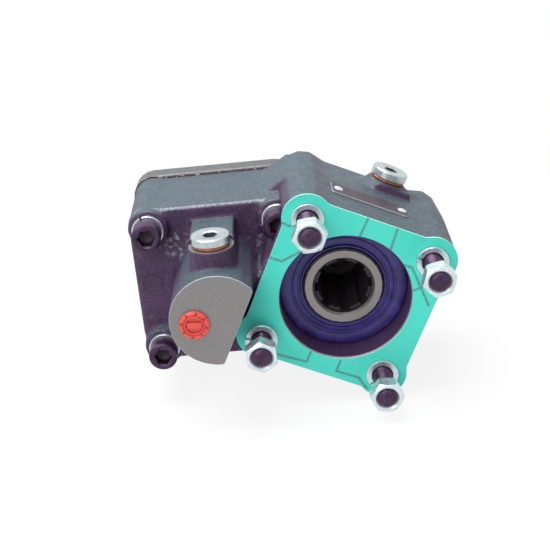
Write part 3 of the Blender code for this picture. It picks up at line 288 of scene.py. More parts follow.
class Net:
    """Adds and joins the nodes of one material, world or group."""

    def __init__(self, tree, owner=None):
        self.tree = tree
        self.owner = owner

    def join(self, node, inputs):
        """Feed a node's inputs from values or sockets."""
        for key, value in inputs.items():
            if isinstance(value, bpy.types.NodeSocket):
                self.tree.links.new(value, node.inputs[key])
            else:
                node.inputs[key].default_value = value

    def add(self, kind, inputs=None, **settings):
        """Make a node, set it and feed its inputs from values or sockets."""
        made = self.tree.nodes.new(kind)
        for name, value in settings.items():
            setattr(made, name, value)
        self.join(made, inputs or {})
        return made

    def group(self, name, **inputs):
        """The outputs of a shared effect."""
        return self.add("ShaderNodeGroup", inputs, node_tree=bpy.data.node_groups[name]).outputs

    def give(self, **sockets):
        """Feed the outputs of this group."""
        self.join(self.tree.nodes["Group Output"], sockets)

    def place(self):
        """The object coordinates."""
        return self.add("ShaderNodeTexCoord").outputs["Object"]

    def facing(self):
        """The parts of the face's direction."""
        return self.parts(self.add("ShaderNodeTexCoord").outputs["Normal"])

    def vector(self, operation, first, second=None):
        """One Vector Math node's result, a number or a vector."""
        inputs = {0: first} if second is None else {0: first, 1: second}
        made = self.add("ShaderNodeVectorMath", inputs, operation=operation)
        number = operation in ("DISTANCE", "DOT_PRODUCT", "LENGTH")
        return made.outputs["Value" if number else "Vector"]

    def parts(self, vector):
        """The three parts of a vector."""
        return self.add("ShaderNodeSeparateXYZ", {0: vector}).outputs

    def math(self, operation, first, second=0.0, third=0.0, clamp=False):
        """One Math node's result."""
        inputs = {0: first, 1: second, 2: third}
        made = self.add("ShaderNodeMath", inputs, operation=operation, use_clamp=clamp)
        return made.outputs[0]

    def times(self, first, second, clamp=False):
        """A product."""
        return self.math("MULTIPLY", first, second, clamp=clamp)

    def plus(self, first, second):
        """A sum."""
        return self.math("ADD", first, second)

    def minus(self, first, second):
        """A difference."""
        return self.math("SUBTRACT", first, second)

    def most(self, first, second):
        """The larger of two values."""
        return self.math("MAXIMUM", first, second)

    def below(self, value, low, high):
        """One below low, nought above high, smooth between."""
        return self.step(self.times(value, -1.0), -high, -low)

    def spread(self, value, low, high):
        """A value about one half as a number from low to high."""
        made = self.add("ShaderNodeMapRange", {0: value, 1: 0.3, 2: 0.7, 3: low, 4: high})
        return made.outputs[0]

    def shades(self, factor, colour, dark, light):
        """A darker and a lighter shade of one colour mixed by a factor."""
        return self.mix(factor, rgba(colour, dark), rgba(colour, light))

    def seen(self):
        """One for rays from the camera and for those that it sees in or through a surface."""
        path = self.add("ShaderNodeLightPath").outputs
        return self.most(self.most(path["Is Camera Ray"], path["Is Glossy Ray"]), path["Is Transmission Ray"])

    def over(self, colour, top, mask, share):
        """A share of another colour laid over a colour where the mask is."""
        return self.mix(self.times(mask, share), colour, top)

    def mix(self, factor, first, second):
        """Two colours mixed by a factor."""
        made = self.add("ShaderNodeMix", {0: factor, 6: first, 7: second}, data_type="RGBA")
        return made.outputs[2]

    def step(self, value, low, high):
        """Nought below low, one above high, smooth between."""
        inputs = {0: value, 1: low, 2: high, 3: 0.0, 4: 1.0}
        made = self.add("ShaderNodeMapRange", inputs, interpolation_type="SMOOTHSTEP")
        return made.outputs[0]

    def noise(self, place, scale, detail=3.0, roughness=0.55):
        """A noise value about one half."""
        made = self.add(
            "ShaderNodeTexNoise", {"Vector": place, "Scale": scale, "Detail": detail, "Roughness": roughness})
        return made.outputs[0]

    def bump(self, height, distance, strength=1.0):
        """A bumped normal."""
        inputs = {"Height": height, "Distance": distance, "Strength": strength}
        return self.add("ShaderNodeBump", inputs).outputs[0]

    def shade(self, colour, **sockets):
        """Feed the Principled BSDF, with spaces written as underscores, and hand back the material."""
        inputs = {label.replace("_", " "): value for label, value in sockets.items()}
        self.join(self.tree.nodes["Principled BSDF"], {"Base Color": colour, **inputs})
        return self.owner


def rgba(colour, gain=1.0):
    """A colour with its alpha, made lighter or darker."""
    return (*(min(1.0, part * gain) for part in colour), 1.0)


def new_group(name, inputs, outputs):
    """An empty shader group with its sockets: its net and its input node."""
    tree = bpy.data.node_groups.new(name, "ShaderNodeTree")
    for label, kind, value in inputs:
        socket = tree.interface.new_socket(label, in_out="INPUT", socket_type=kind)
        socket.default_value = value
    for label, kind in outputs:
        tree.interface.new_socket(label, in_out="OUTPUT", socket_type=kind)
    net = Net(tree)
    given = net.add("NodeGroupInput")
    net.add("NodeGroupOutput")
    return net, given.outputs


def make_cast_grain():
    """Sand-cast grain: fine pits over slow waves, as a height and a tone."""
    net, given = new_group(
        "Cast grain", [("Scale", "NodeSocketFloat", 1.0)],
        [("Height", "NodeSocketFloat"), ("Tone", "NodeSocketFloat")])
    place = net.place()
    fine = net.noise(place, net.times(given[0], 1500.0), 4.0, 0.6)
    middle = net.noise(place, net.times(given[0], 420.0), 3.0)
    slow = net.noise(place, net.times(given[0], 70.0), 2.0)
    pits = net.add(
        "ShaderNodeTexVoronoi",
        {"Vector": place, "Scale": net.times(given[0], 620.0), "Randomness": 1.0})
    pit = net.step(pits.outputs["Distance"], 0.05, 0.35)
    height = net.plus(net.times(fine, 0.35), net.times(middle, 0.5))
    height = net.plus(height, net.times(pit, 0.22))
    height = net.plus(height, net.times(slow, 0.6))
    tone = net.plus(net.times(slow, 0.6), net.times(middle, 0.4))
    net.give(Height=height, Tone=tone)


def make_edge_masks():
    """A mask of convex and concave edges, broken up by noise."""
    net, given = new_group(
        "Edge wear", [("Radius", "NodeSocketFloat", 0.001), ("Breakup", "NodeSocketFloat", 0.5)],
        [("Mask", "NodeSocketFloat"), ("Edge", "NodeSocketFloat")])
    soft = net.add("ShaderNodeBevel", {"Radius": given["Radius"]}, samples=6)
    plain = net.add("ShaderNodeNewGeometry").outputs["Normal"]
    dot = net.vector("DOT_PRODUCT", soft.outputs[0], plain)
    edge = net.step(net.minus(1.0, dot), 0.012, 0.16)
    place = net.place()
    patch = net.noise(place, 260.0, 4.0, 0.65)
    worn = net.minus(patch, net.times(given["Breakup"], 0.5))
    mask = net.times(edge, net.step(worn, 0.12, 0.34), clamp=True)
    net.give(Mask=mask, Edge=edge)


def make_turning_marks():
    """Fine rings left by a lathe about an axis along Y through the given point."""
    net, given = new_group(
        "Turning marks", [("Centre", "NodeSocketVector", (0, 0, 0)), ("Pitch", "NodeSocketFloat", 0.0002)],
        [("Height", "NodeSocketFloat"), ("Radius", "NodeSocketFloat")])
    place = net.place()
    away = net.vector("SUBTRACT", place, given["Centre"])
    flat = net.vector("MULTIPLY", away, (1, 0, 1))
    radius = net.vector("LENGTH", flat)
    turns = net.math("DIVIDE", radius, given["Pitch"])
    rings = net.add("ShaderNodeTexNoise", {"W": turns, "Scale": 1.0, "Detail": 2.0}, noise_dimensions="1D")
    net.give(Height=rings.outputs[0], Radius=radius)


def make_handling():
    """Faint smudges and fine random scratches, as a value about one half and a scratch mask."""
    net, given = new_group(
        "Handling marks", [("Scale", "NodeSocketFloat", 1.0)],
        [("Smudge", "NodeSocketFloat"), ("Scratch", "NodeSocketFloat")])
    place = net.place()
    smudge = net.noise(place, net.times(given[0], 130.0), 5.0, 0.6)
    scratch = None
    for turn, stretch in ((0.7, 30.0), (2.1, 24.0)):
        turned = net.add("ShaderNodeMapping", {0: place, 2: (turn, turn * 2, turn), 3: (1.0, stretch, 1.0)})
        lines = net.noise(turned.outputs[0], net.times(given[0], 90.0), 2.0)
        mark = net.step(lines, 0.66, 0.72)
        scratch = mark if scratch is None else net.most(scratch, mark)
    net.give(Smudge=smudge, Scratch=scratch)


def make_drawn_line():
    """A mask of one straight line between two points in a plane across Y."""
    net, given = new_group(
        "Drawn line",
        [("Start", "NodeSocketVector", (0, 0, 0)), ("End", "NodeSocketVector", (1, 0, 0)),
         ("Place", "NodeSocketVector", (0, 0, 0)), ("Width", "NodeSocketFloat", 0.001)],
        [("Mask", "NodeSocketFloat")])
    run = net.vector("SUBTRACT", given["End"], given["Start"])
    away = net.vector("SUBTRACT", given["Place"], given["Start"])
    flat = net.vector("MULTIPLY", away, (1, 0, 1))
    along = net.vector("DOT_PRODUCT", flat, run)
    square = net.vector("DOT_PRODUCT", run, run)
    share = net.math("DIVIDE", along, square, clamp=True)
    foot = net.add("ShaderNodeVectorMath", {0: run, "Scale": share}, operation="SCALE").outputs[0]
    gap = net.vector("DISTANCE", flat, foot)
    half = net.times(given["Width"], 0.5)
    over = net.minus(gap, half)
    net.give(Mask=net.below(over, -0.00012, 0.00012))


def surface(name):
    """The net of a new material."""
    made = bpy.data.materials.new(name)
    made.use_nodes = True
    return Net(made.node_tree, made)


def painted_casting(looks):
    """Charcoal paint on rough cast iron, rubbed at the edges and scuffed, with painted sheen on its tops and
    painted highlights along two front edges.
    """
    net = surface("painted casting")
    grain = net.group("Cast grain")
    wear_and_glint = net.group("Edge wear", Radius=0.0020, Breakup=0.45)
    marks = net.group("Handling marks")
    place = net.place()
    tone = net.step(grain["Tone"], 0.36, 0.64)
    colour = net.shades(tone, looks.paint, 0.70, 1.30)
    mottle = net.step(net.noise(place, 650.0, 4.0, 0.7), 0.42, 0.66)
    colour = net.over(colour, rgba((0.095, 0.052, 0.125)), mottle, 0.50)
    warm = net.step(net.noise(place, 28.0, 2.0), 0.45, 0.75)
    colour = net.over(colour, rgba((0.075, 0.045, 0.06)), warm, 0.20)
    # Painted sheen: faces that point up are mixed towards a lighter bluish grey. This stands in for the top
    # light's sheen as well as a film of dust; the sides keep the darker paint.
    upward = net.facing()[2]
    dust_and_sheen = net.shades(mottle, looks.dust_and_sheen, 0.74, 1.34)
    colour = net.mix(net.step(upward, 0.46, 0.92), colour, dust_and_sheen)
    colour = net.over(colour, rgba(looks.worn), wear_and_glint["Mask"], 0.55)
    rubbed = net.times(net.step(net.noise(place, 900.0, 2.0), 0.70, 0.76), 0.45)
    scuffs = None
    for centre, reach in (((0.0345, -0.075, 0.0755), 0.020), ((-0.024, -0.076, 0.0725), 0.013),
                          ((-0.033, -0.076, 0.012), 0.013), ((0.030, -0.100, 0.060), 0.012)):
        gap = net.vector("DISTANCE", place, centre)
        spot = net.below(gap, reach * 0.2, reach)
        scuffs = spot if scuffs is None else net.most(scuffs, spot)
    chipped = net.step(net.noise(place, 240.0, 5.0, 0.7), 0.52, 0.62)
    scuffs = net.times(net.times(scuffs, chipped), 0.85)
    light = net.most(scuffs, net.times(marks["Scratch"], 0.10))
    light = net.most(light, rubbed)
    colour = net.mix(light, colour, rgba(looks.worn))
    # Painted highlight: a thin pale line along the block's top front edge, broken up by noise, and along the
    # front edge of the boss.
    parts = net.parts(place)
    rim_y = net.math("ABSOLUTE", net.minus(parts[1], BLOCK_FRONT + 0.0008))
    rim_z = net.math("ABSOLUTE", net.minus(parts[2], INPUT_HEIGHT + 0.0508))
    rim = net.most(rim_y, rim_z)
    rim = net.below(rim, 0.0005, 0.0016)
    rim = net.times(rim, net.step(parts[0], 0.036, 0.031))
    rim = net.times(rim, net.step(net.noise(place, 800.0, 4.0, 0.7), 0.30, 0.66))
    nose = net.below(parts[1], BOSS_FRONT + 0.0004, BOSS_FRONT + 0.0010)
    rim = net.most(net.times(rim, 0.75), nose)
    colour = net.mix(rim, colour, rgba((0.36, 0.40, 0.46)))
    mark_gap = net.vector("DISTANCE", place, (-0.0417, BLOCK_FRONT, 0.0471))
    ring = net.math("ABSOLUTE", net.minus(mark_gap, 0.0062))
    ring = net.below(ring, 0.0001, 0.0007)
    height = net.plus(grain["Height"], net.times(ring, -0.9))
    rough = net.spread(marks["Smudge"], 0.42, 0.60)
    return net.shade(
        colour, Roughness=rough, Metallic=0.0, Specular_IOR_Level=0.34,
        Normal=net.bump(height, 0.00036, 1.0))


def bare_iron(looks):
    """A milled iron face with fine arcs, dark pores and a painted highlight along its edges."""
    net = surface("milled iron")
    marks = net.group("Turning marks", Centre=(0.11, 0.0, 0.16), Pitch=0.00042)
    hand = net.group("Handling marks", Scale=0.8)
    wear_and_glint = net.group("Edge wear", Radius=0.0006, Breakup=0.0)
    place = net.place()
    lines = net.step(marks["Height"], 0.30, 0.72)
    colour = net.shades(lines, looks.iron, 0.80, 1.14)
    cross = net.group("Turning marks", Centre=(-0.12, 0.0, 0.10), Pitch=0.0008)
    colour = net.over(colour, rgba(looks.iron, 1.5), net.step(cross["Height"], 0.5, 0.75), 0.14)
    pores = net.step(net.noise(place, 900.0, 4.0, 0.7), 0.50, 0.66)
    colour = net.over(colour, rgba(looks.iron, 0.55), pores, 0.60)
    stain = net.step(net.noise(place, 45.0, 3.0), 0.55, 0.75)
    colour = net.over(colour, rgba((0.30, 0.24, 0.22)), stain, 0.25)
    # Painted highlight: the edges of the milled face are mixed towards near-white.
    colour = net.over(colour, rgba((0.75, 0.76, 0.78)), wear_and_glint["Edge"], 0.6)
    rough = net.spread(hand["Smudge"], 0.38, 0.55)
    return net.shade(colour, Roughness=rough, Metallic=0.55, Normal=net.bump(marks["Height"], 0.00003, 0.7))


def bored_iron():
    """The walls of the bores: dark purple turned iron, with a painted highlight along their edges."""
    net = surface("bored iron")
    place = net.place()
    squeezed = net.add("ShaderNodeMapping", {0: place, 3: (0.05, 1.0, 0.05)})
    lines = net.noise(squeezed.outputs[0], 3000.0, 2.0)
    wear_and_glint = net.group("Edge wear", Radius=0.0007, Breakup=0.0)
    colour = net.mix(net.step(lines, 0.35, 0.65), rgba((0.085, 0.040, 0.115)), rgba((0.15, 0.080, 0.19)))
    # Painted highlight: the edges of the bores, such as the pilot's chamfer, are mixed towards near-white.
    colour = net.over(colour, rgba((0.7, 0.7, 0.72)), wear_and_glint["Edge"], 0.8)
    return net.shade(colour, Roughness=0.38, Metallic=0.45, Normal=net.bump(lines, 0.00003, 0.5))


def plate_iron(looks):
    """The gearbox plate: painted, with its machined front and back faces showing at the rim."""
    net = surface("plate iron")
    grain = net.group("Cast grain", Scale=1.3)
    wear_and_glint = net.group("Edge wear", Radius=0.0009, Breakup=0.3)
    place = net.place()
    squeezed = net.add("ShaderNodeMapping", {0: place, 3: (1.0, 9.0, 1.0)})
    lines = net.noise(squeezed.outputs[0], 260.0, 4.0, 0.6)
    colour = net.mix(net.step(lines, 0.38, 0.62), rgba((0.070, 0.074, 0.076)), rgba((0.125, 0.134, 0.138)))
    marks = net.group("Turning marks", Centre=(0.16, 0.0, -0.14), Pitch=0.0005)
    arcs = net.step(marks["Height"], 0.30, 0.72)
    pores = net.step(net.noise(place, 1100.0, 4.0, 0.7), 0.52, 0.68)
    milled = net.shades(arcs, looks.iron, 0.70, 1.05)
    milled = net.over(milled, rgba(looks.iron, 0.5), pores, 0.5)
    facing = net.facing()[1]
    colour = net.mix(net.math("GREATER_THAN", net.math("ABSOLUTE", facing), 0.9), colour, milled)
    colour = net.over(colour, rgba((0.5, 0.48, 0.46)), wear_and_glint["Mask"], 0.7)
    height = net.plus(net.times(grain["Height"], 0.5), lines)
    return net.shade(colour, Roughness=0.46, Metallic=0.35, Normal=net.bump(height, 0.00012, 0.6))


def joint_sealant(looks):
    """Dark sealant with pale specks of dust."""
    net = surface("joint sealant")
    place = net.place()
    specks = net.step(net.noise(place, 420.0, 4.0, 0.7), 0.54, 0.62)
    colour = net.mix(specks, rgba(looks.sealant), rgba((0.42, 0.36, 0.40)))
    return net.shade(colour, Roughness=0.42, Normal=net.bump(specks, 0.0002, 0.6))


def gasket_fibre(looks):
    """Turquoise fibre sheet with thin plain lines and a pale cut edge."""
    net = surface("gasket fibre")
    place = net.place()
    centred = net.vector("SUBTRACT", place, (OUTPUT_X, 0, OUTPUT_Z))
    turned = net.add(
        "ShaderNodeVectorRotate", {"Vector": centred, "Axis": (0, 1, 0), "Angle": -FLANGE_TURN},
        rotation_type="AXIS_ANGLE").outputs[0]
    lines = None
    for start, end in GASKET_LINES:
        drawn = net.group(
            "Drawn line", Start=(start[0], 0, start[1]), End=(end[0], 0, end[1]), Place=turned,
            Width=looks.line_width)
        lines = drawn[0] if lines is None else net.most(lines, drawn[0])
    worn = net.step(net.noise(place, 900.0, 2.0), 0.18, 0.48)
    fibre = net.noise(place, 1400.0, 4.0, 0.65)
    slow = net.noise(place, 35.0, 2.0)
    colour = net.shades(net.step(fibre, 0.3, 0.7), looks.sheet, 0.94, 1.05)
    colour = net.over(colour, rgba((0.09, 0.70, 0.60)), net.step(slow, 0.4, 0.7), 0.3)
    colour = net.mix(net.times(net.times(lines, worn), 0.95), colour, rgba(looks.line))
    facing = net.facing()[1]
    side = net.math("LESS_THAN", net.math("ABSOLUTE", facing), 0.6)
    colour = net.mix(side, colour, rgba(looks.edge))
    return net.shade(colour, Roughness=0.62, Normal=net.bump(fibre, 0.00003, 0.6))


def black_oxide(looks):
    """Blackened steel with an oily, slightly purple sheen."""
    net = surface("black oxide steel")
    hand = net.group("Handling marks", Scale=1.6)
    wear_and_glint = net.group("Edge wear", Radius=0.0005, Breakup=0.2)
    place = net.place()
    grain = net.noise(place, 2200.0, 3.0)
    tone = net.step(hand["Smudge"], 0.35, 0.7)
    colour = net.shades(tone, looks.black, 0.8, 1.9)
    colour = net.over(colour, rgba((0.32, 0.27, 0.35)), wear_and_glint["Edge"], 0.3)
    rough = net.spread(hand["Smudge"], 0.26, 0.42)
    return net.shade(colour, Roughness=rough, Metallic=0.45, Normal=net.bump(grain, 0.00002, 0.5))


def bright_zinc(looks, name="bright zinc", gain=1.0, metallic=0.78):
    """Bright zinc plate with a faint crystalline tone and rubbed edges."""
    net = surface(name)
    hand = net.group("Handling marks", Scale=2.0)
    place = net.place()
    grain = net.noise(place, 900.0, 3.0)
    tone = net.step(hand["Smudge"], 0.3, 0.72)
    colour = net.shades(tone, looks.zinc, 0.88 * gain, 1.05 * gain)
    colour = net.over(colour, rgba(looks.zinc, 0.6 * gain), hand["Scratch"], 0.12)
    rough = net.spread(hand["Smudge"], 0.24, 0.34)
    return net.shade(colour, Roughness=rough, Metallic=metallic, Normal=net.bump(grain, 0.000003, 0.3))


def soft_copper(looks):
    """Copper with darker tarnish, on a base colour set dark as painted shade."""
    net = surface("copper")
    hand = net.group("Handling marks", Scale=2.5)
    tone = net.step(hand["Smudge"], 0.35, 0.7)
    colour = net.mix(tone, rgba(looks.copper, 0.6), rgba(looks.copper))
    return net.shade(colour, Roughness=0.34, Metallic=0.9, Normal=net.bump(hand["Smudge"], 0.00003, 0.4))


def ground_steel(looks, centre, name="ground steel", gain=1.0):
    """Ground steel with rings about its own axis and a light film of oil."""
    net = surface(name)
    marks = net.group("Turning marks", Centre=centre, Pitch=0.00018)
    hand = net.group("Handling marks", Scale=1.2)
    colour = net.shades(net.step(marks["Height"], 0.3, 0.7), looks.steel, 0.82 * gain, 1.08 * gain)
    stain = net.step(hand["Smudge"], 0.5, 0.75)
    colour = net.over(colour, rgba((0.33, 0.27, 0.24)), stain, 0.35)
    rough = net.spread(hand["Smudge"], 0.26, 0.42)
    return net.shade(colour, Roughness=rough, Metallic=0.9, Normal=net.bump(marks["Height"], 0.00002, 0.5))


def output_steel(looks):
    """The output shaft: a ground end face, and splines deeper in the bore painted near-black as shade,
    rougher and less metallic there.
    """
    net = surface("output steel")
    centre = (OUTPUT_X, 0, OUTPUT_Z)
    marks = net.group("Turning marks", Centre=centre, Pitch=0.0004)
    hand = net.group("Handling marks", Scale=1.2)
    place = net.place()
    depth = net.parts(place)[1]
    # Painted shade: past the first few millimetres of the bore, the splines and the bore plug are mixed to
    # near-black and made rougher and less metallic.
    inside = net.math("LESS_THAN", marks["Radius"], 0.0186)
    shaded_depth = net.times(net.step(depth, SHAFT_FRONT + 0.0004, SHAFT_FRONT + 0.0026), inside)
    colour = net.shades(net.step(marks["Height"], 0.3, 0.7), looks.steel, 0.44, 0.58)
    stain = net.step(hand["Smudge"], 0.5, 0.75)
    colour = net.over(colour, rgba((0.30, 0.24, 0.21)), stain, 0.4)
    colour = net.mix(shaded_depth, colour, rgba((0.030, 0.018, 0.026)))
    bright = net.spread(hand["Smudge"], 0.30, 0.46)
    rough = net.plus(bright, net.times(shaded_depth, 0.2))
    metal = net.minus(0.9, net.times(shaded_depth, 0.7))
    return net.shade(colour, Roughness=rough, Metallic=metal, Normal=net.bump(marks["Height"], 0.00002, 0.5))


def seal_rubber(looks):
    """Dark blue rubber with a faint bloom."""
    net = surface("seal rubber")
    hand = net.group("Handling marks", Scale=1.0)
    marks = net.group("Turning marks", Centre=(OUTPUT_X, 0, OUTPUT_Z), Pitch=0.0006)
    bloom = net.step(hand["Smudge"], 0.38, 0.75)
    colour = net.mix(bloom, rgba(looks.seal, 0.85), rgba((0.055, 0.038, 0.26)))
    place = net.place()
    centred = net.vector("SUBTRACT", place, (OUTPUT_X, 0, OUTPUT_Z))
    parts = net.parts(centred)
    angle = net.math("ARCTAN2", parts[2], parts[0])
    share = net.math("FRACT", net.times(angle, 7.0 / math.tau))
    tab = net.step(net.math("ABSOLUTE", net.minus(share, 0.5)), 0.47, 0.485)
    band = net.step(marks["Radius"], 0.0330, 0.0336)
    colour = net.mix(net.times(net.times(tab, band), 0.5), colour, rgba(looks.seal, 0.4))
    rough = net.spread(hand["Smudge"], 0.30, 0.48)
    return net.shade(
        colour, Roughness=rough, Specular_IOR_Level=0.5,
        Normal=net.bump(marks["Height"], 0.00004, 0.35))


def moulded_plastic(name, colour, roughness):
    """Moulded plastic with a fine texture and light scuffs."""
    net = surface(name)
    hand = net.group("Handling marks", Scale=1.8)
    place = net.place()
    grain = net.noise(place, 1500.0, 3.0)
    tint = net.shades(net.step(hand["Smudge"], 0.35, 0.7), colour, 0.9, 1.06)
    tint = net.over(tint, rgba((0.95, 0.45, 0.38)), hand["Scratch"], 0.2)
    return net.shade(tint, Roughness=roughness, Normal=net.bump(grain, 0.00003, 0.5))


def anodised_plate(looks):
    """Dark anodised aluminium, brushed along its length and rubbed at the edges."""
    net = surface("anodised plate")
    wear_and_glint = net.group("Edge wear", Radius=0.0004, Breakup=0.3)
    place = net.place()
    turned = net.add("ShaderNodeMapping", {0: place, 2: (0, FLANGE_TURN, 0), 3: (0.04, 1.0, 1.0)})
    brushed = net.noise(turned.outputs[0], 1700.0, 2.0)
    dust_and_sheen = net.step(net.noise(place, 500.0, 4.0, 0.7), 0.60, 0.72)
    colour = net.shades(net.step(brushed, 0.35, 0.65), looks.plate, 0.8, 1.3)
    colour = net.over(colour, rgba((0.35, 0.33, 0.36)), dust_and_sheen, 0.15)
    colour = net.over(colour, rgba((0.6, 0.58, 0.6)), wear_and_glint["Mask"], 0.8)
    out = (math.sin(FLANGE_TURN), 0.0, math.cos(FLANGE_TURN))
    facing = net.vector("DOT_PRODUCT", net.add("ShaderNodeTexCoord").outputs["Normal"], out)
    colour = net.mix(net.math("LESS_THAN", facing, 0.6), colour, rgba((0.55, 0.55, 0.58)))
    return net.shade(colour, Roughness=0.48, Metallic=0.15, Normal=net.bump(brushed, 0.00002, 0.5))


def plain_metal(name, colour, roughness, metallic=1.0):
    """An inner metal piece with handling marks."""
    net = surface(name)
    hand = net.group("Handling marks", Scale=1.5)
    tint = net.shades(net.step(hand["Smudge"], 0.3, 0.7), colour, 0.82, 1.06)
    return net.shade(
        tint, Roughness=roughness, Metallic=metallic,
        Normal=net.bump(hand["Smudge"], 0.00002, 0.4))


def shift(x, y, z):
    """A move as a matrix."""
    return Matrix.Translation((x, y, z))


def spin(angle):
    """A turn about the Y axis."""
    return Matrix.Rotation(angle, 4, "Y")


def on_axis(node, y=0.0):
    """A frame at some Y on a CAD node's own axis."""
    spot = middle_of(node)
    return shift(spot.x, y, spot.z)


def at_input():
    """The frame of the input axis."""
    return shift(0, 0, INPUT_HEIGHT)


def at_port():
    """The frame of the air port."""
    return shift(PORT_X, 0, PORT_Z)


def at_indicator():
    """The frame of the indicator plug: its Y axis points up, its origin is on the seat."""
    return shift(0, INDICATOR_Y, INDICATOR_SEAT) @ UPRIGHT


def at_output():
    """The frame of the output axis."""
    return shift(OUTPUT_X, 0, OUTPUT_Z)


def at_flange():
    """The frame of the turned pump flange."""
    return at_output() @ spin(FLANGE_TURN)


def close_shape(bm):
    """Merge the doubles of a shape and turn its faces outwards."""
    bmesh.ops.remove_doubles(bm, verts=bm.verts, dist=1e-7)
    bmesh.ops.dissolve_degenerate(bm, edges=bm.edges, dist=1e-8)
    bmesh.ops.recalc_face_normals(bm, faces=bm.faces)


def turned(profile, steps=ROUND, sweep=math.tau, start=0.0, rise=0.0):
    """Spin a closed (radius, y) profile about the Y axis; part turns are capped."""
    bm = bmesh.new()
    corners = [bm.verts.new((radius, y, 0)) for radius, y in profile]
    face = bm.faces.new(corners)
    bmesh.ops.rotate(bm, verts=corners, cent=(0, 0, 0), matrix=Matrix.Rotation(-start, 3, "Y"))
    full = sweep > math.tau - 1e-6
    geometry = corners + list(face.edges) + ([] if full else [face])
    if full:
        bmesh.ops.delete(bm, geom=[face], context="FACES_ONLY")
        geometry = list(bm.verts) + list(bm.edges)
    else:
        copy = bmesh.ops.duplicate(bm, geom=geometry)["geom"]
        bmesh.ops.reverse_faces(bm, faces=[item for item in copy if isinstance(item, bmesh.types.BMFace)])
    bmesh.ops.spin(
        bm, geom=geometry, cent=(0, 0, 0), axis=(0, -1, 0), dvec=(0, rise / steps, 0), angle=sweep,
        steps=steps, use_merge=full, use_duplicate=False)
    close_shape(bm)
    return bm


def prism(outline, front, back):
    """Extrude an outline in the XZ plane along Y."""
    bm = bmesh.new()
    face = bm.faces.new([bm.verts.new((x, front, z)) for x, z in outline])
    grown = bmesh.ops.extrude_face_region(bm, geom=[face])["geom"]
    tips = [item for item in grown if isinstance(item, bmesh.types.BMVert)]
    bmesh.ops.translate(bm, verts=tips, vec=(0, back - front, 0))
    close_shape(bm)
    return bm


def hexagon(flats, front, back):
    """A hexagonal bar along Y with two flats across X."""
    bm = bmesh.new()
    bmesh.ops.create_cone(
        bm, cap_ends=True, segments=6, radius1=flats / math.sqrt(3), radius2=flats / math.sqrt(3),
        depth=back - front, matrix=shift(0, (front + back) / 2, 0) @ UPRIGHT)
    bmesh.ops.rotate(bm, verts=bm.verts, cent=(0, 0, 0), matrix=Matrix.Rotation(math.pi / 6, 3, "Y"))
    bmesh.ops.recalc_face_normals(bm, faces=bm.faces)
    return bm


def arc(centre_x, centre_z, radius, start, end, steps):
    """Points along a circle in the XZ plane, both ends included."""
    turns = [start + (end - start) * step / steps for step in range(steps + 1)]
    return [(centre_x + radius * math.cos(turn), centre_z + radius * math.sin(turn)) for turn in turns]


def lobed_square(pitch, lobe, half_width, fillet, steps=14):
    """A square with a round lobe about each hole and a fillet where lobe and side meet."""
    centre = pitch / 2
    drop = half_width + fillet - centre
    reach = math.sqrt((lobe + fillet) ** 2 - drop ** 2)
    beta = math.atan2(drop, reach)
    quarter = math.pi / 2
    corner = arc(centre + drop, centre - reach, fillet, math.pi, quarter + beta, 5)[:-1]
    corner += arc(centre, centre, lobe, beta - quarter, math.pi - beta, steps)
    corner += arc(centre - reach, centre + drop, fillet, -beta, -quarter, 5)[1:]
    outline = []
    for _ in range(4):
        outline += corner
        corner = [(-z, x) for x, z in corner]
    return outline


def coated(mesh, *materials):
    """Give a mesh its materials and hand it back."""
    for material in materials:
        mesh.materials.append(material)
    return mesh


def mesh_of(bm, *materials):
    """Turn a bmesh into a mesh with its materials."""
    mesh = bpy.data.meshes.new("shape")
    bm.to_mesh(mesh)
    bm.free()
    return coated(mesh, *materials)


def block(place, size):
    """A box of a size, about the middle of a frame."""
    bm = bmesh.new()
    bmesh.ops.create_cube(bm, size=1.0, matrix=place @ Matrix.Diagonal((*size, 1)))
    return mesh_of(bm)


def placed(mesh, place):
    """Move a mesh and hand it back."""
    mesh.transform(place)
    return mesh


def boolean(target, tool, operation="DIFFERENCE", solver="EXACT"):
    """Join or cut one mesh with another; the tool keeps its own material number."""
    body = bpy.data.objects.new("body", target)
    helper = bpy.data.objects.new("helper", tool)
    for item in (body, helper):
        bpy.context.scene.collection.objects.link(item)
    modifier = body.modifiers.new("boolean", "BOOLEAN")
    modifier.operation = operation
    modifier.solver = solver
    if solver == "EXACT":
        modifier.material_mode = "INDEX"
    modifier.object = helper
    graph = bpy.context.evaluated_depsgraph_get()
    made = bpy.data.meshes.new_from_object(
        body.evaluated_get(graph), preserve_all_data_layers=True, depsgraph=graph)
    for item in (body, helper):
        bpy.data.objects.remove(item)
    return made


def numbered(mesh, number):
    """Give every face of a cutting tool one material number."""
    for polygon in mesh.polygons:
        polygon.material_index = number
    return mesh


def finish_piece(name, mesh, nodes, body="casing", sharp=34.0, edge=0.0):
    """Put a mesh in the scene as the piece that stands for some CAD nodes."""
    mesh.name = name
    mesh.shade_smooth()
    mesh.set_sharp_from_angle(angle=math.radians(sharp))
    item = bpy.data.objects.new(name, mesh)
    bpy.context.scene.collection.objects.link(item)
    if edge:
        bevel = item.modifiers.new("small edges", "BEVEL")
        bevel.width = edge
        bevel.segments = 2
        bevel.limit_method = "ANGLE"
        bevel.angle_limit = math.radians(sharp)
        bevel.harden_normals = False
    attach(item, body)
    if nodes:
        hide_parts(*nodes)
    return item


def dress(material, *nodes):
    """Give CAD nodes a better material."""
    for name in nodes:
        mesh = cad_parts[name].data
        if not mesh.materials:
            mesh.materials.append(material)
        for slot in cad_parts[name].material_slots:
            slot.material = material


class PTO_OT_groups(bpy.types.Operator):
    """Make the shared shader groups"""

    bl_idname = "pto.groups"
    bl_label = "Shader Groups"

    def execute(self, context):
        for make in (make_cast_grain, make_edge_masks, make_turning_marks, make_handling, make_drawn_line):
            make()
        return {"FINISHED"}


